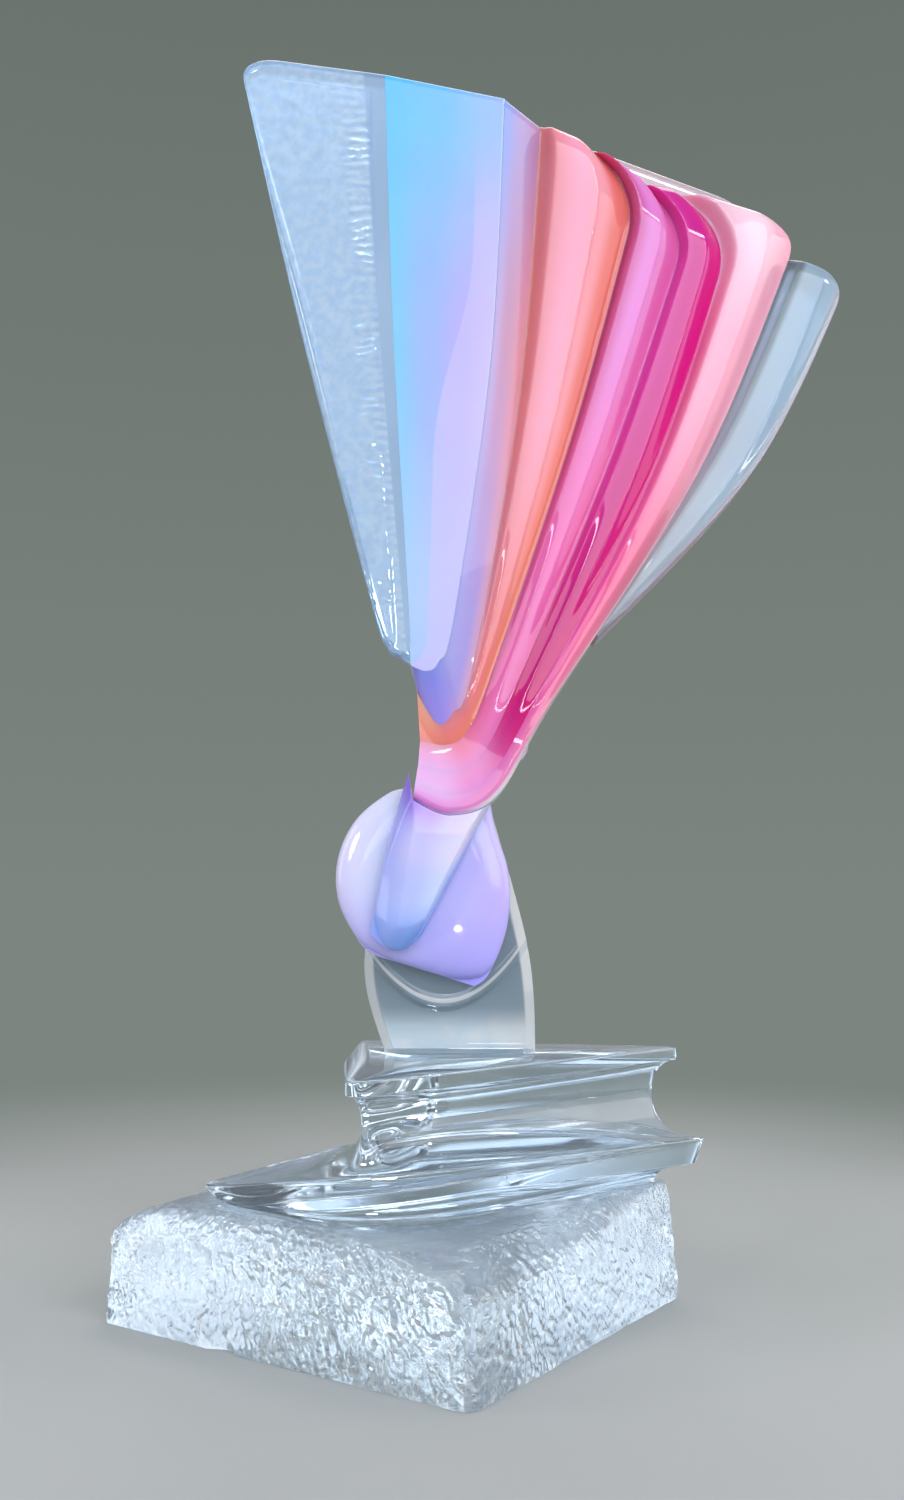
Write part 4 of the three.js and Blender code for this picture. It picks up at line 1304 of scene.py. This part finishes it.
def floor():
    """A pale disc under the object that passes into the backdrop's colour farther out."""
    mesh = bpy.data.meshes.new("floor")
    angles = np.linspace(0, 2 * math.pi, FLOOR_SIDES + 1)[:-1]
    radius = FLOOR_RADIUS * MM
    points = [(radius * math.cos(a), radius * math.sin(a), -BOND * MM) for a in angles]
    mesh.from_pydata(points, [], [list(range(len(points)))])
    obj = bpy.data.objects.new("floor", mesh)
    bpy.context.scene.collection.objects.link(obj)
    shader = Shader("floor")
    tone = shader.clouded(FLOOR_TINTS, **FLOOR_CLOUDS)
    dress(obj, shader.finish(base_color=tone, roughness=FLOOR_ROUGHNESS))
    away = shader.add("ShaderNodeVectorMath", {0: shader.place()}, operation="LENGTH").outputs["Value"]
    far = shader.range(away, FLOOR_PALE_TO * MM, FLOOR_DIM_FROM * MM)
    shown = shader.add("ShaderNodeEmission", {"Color": colour(BACKDROP)}).outputs[0]
    both = shader.either(far, shader.surface.outputs[0], shown)
    shader.set(shader.tree.nodes["Material Output"].inputs["Surface"], both)


def backdrop():
    """The camera sees a backdrop, clear pieces see it between bright sides, and the rest gets a fill."""
    world = bpy.data.worlds.new("studio")
    bpy.context.scene.world = world
    world.use_nodes = True
    nodes = Nodes(world.node_tree)
    nodes.tree.nodes.clear()
    way = nodes.parts(nodes.add("ShaderNodeTexCoord").outputs["Generated"])
    path = nodes.add("ShaderNodeLightPath").outputs
    seen = nodes.background(nodes.ramp(way["Z"], BACKDROP_STOPS, "LINEAR"))
    sides = nodes.background(colour(SIDES), SIDES_STRENGTH)
    fill = nodes.background(colour(FILL), FILL_STRENGTH)
    ahead = nodes.range(way["Y"], *BACKDROP_EDGE, interpolation="LINEAR")
    through = nodes.either(ahead, sides, seen)
    unseen = nodes.either(path["Is Transmission Ray"], fill, through)
    shown = nodes.either(path["Is Camera Ray"], unseen, seen)
    nodes.add("ShaderNodeOutputWorld", {"Surface": shown})


# Lamps: each is at an azimuth and an elevation in degrees, and azimuth 0 is behind the camera
LAMP_AIM = (50, 0, 330)
COOL = "#F2F7FF"
LAMPS = {
    "front_box": dict(at=(-3, 19.6), away=2500, size=(1050, 1750), radiance=2.85, tint=COOL),
    "right_box": dict(at=(36, 22), away=2500, size=(1300, 2100), radiance=3.6, tint=COOL),
    "right_line": dict(at=(18, 22), away=2500, size=(40, 2000), radiance=18, tint=COOL),
    "far_line": dict(at=(55, 22), away=2500, size=(40, 2000), radiance=18, tint=COOL),
    "left_panel": dict(at=(-80, 14), away=2200, size=(1200, 1500), radiance=2.4, tint="#FAFCFF"),
    "right_panel": dict(at=(90, 14), away=2200, size=(1900, 1500), radiance=1.5, tint="#FFFAF4"),
    "left_window": dict(at=(-40, 12), away=2200, size=(360, 500), radiance=12, tint=WHITE, shape="ELLIPSE"),
    "neck_spark": dict(at=(-1.5, 2.8), away=2500, size=(220, 30), radiance=16, tint=WHITE, shape="ELLIPSE"),
    "disc_spark": dict(at=(-0.3, -4.8), away=2500, size=(12, 12), radiance=60, tint=WHITE, shape="ELLIPSE"),
    "back_spark": dict(at=(178, 12), away=2500, size=(270, 270), radiance=10, tint="#E8F3FF"),
    "top_box": dict(at=(170, 62), away=2400, size=(1600, 1000), radiance=2.4, tint="#FFFAF2"),
}


def soft_box(name, at, away, size, radiance, tint, shape="RECTANGLE"):
    """An area lamp that looks at the object's middle and isn't seen by the camera."""
    data = bpy.data.lights.new(name, "AREA")
    data.shape = shape
    wide, tall = [edge * MM for edge in size]
    data.size, data.size_y = wide, tall
    data.energy = radiance * math.pi * wide * tall
    data.color = colour(tint)[:3]
    lamp = bpy.data.objects.new(name, data)
    bpy.context.scene.collection.objects.link(lamp)
    azimuth, elevation = np.radians(at)
    ahead, aside = -math.cos(azimuth), math.sin(azimuth)
    level = math.cos(elevation)
    out = Vector((aside * level, ahead * level, math.sin(elevation)))
    lamp.location = (Vector(LAMP_AIM) + out * away) * MM
    lamp.rotation_euler = out.to_track_quat("Z", "Y").to_euler()
    lamp.visible_camera = False


floor()
backdrop()
for name, lamp in LAMPS.items():
    soft_box(name, **lamp)

bpy.context.scene.view_settings.view_transform = "Standard"
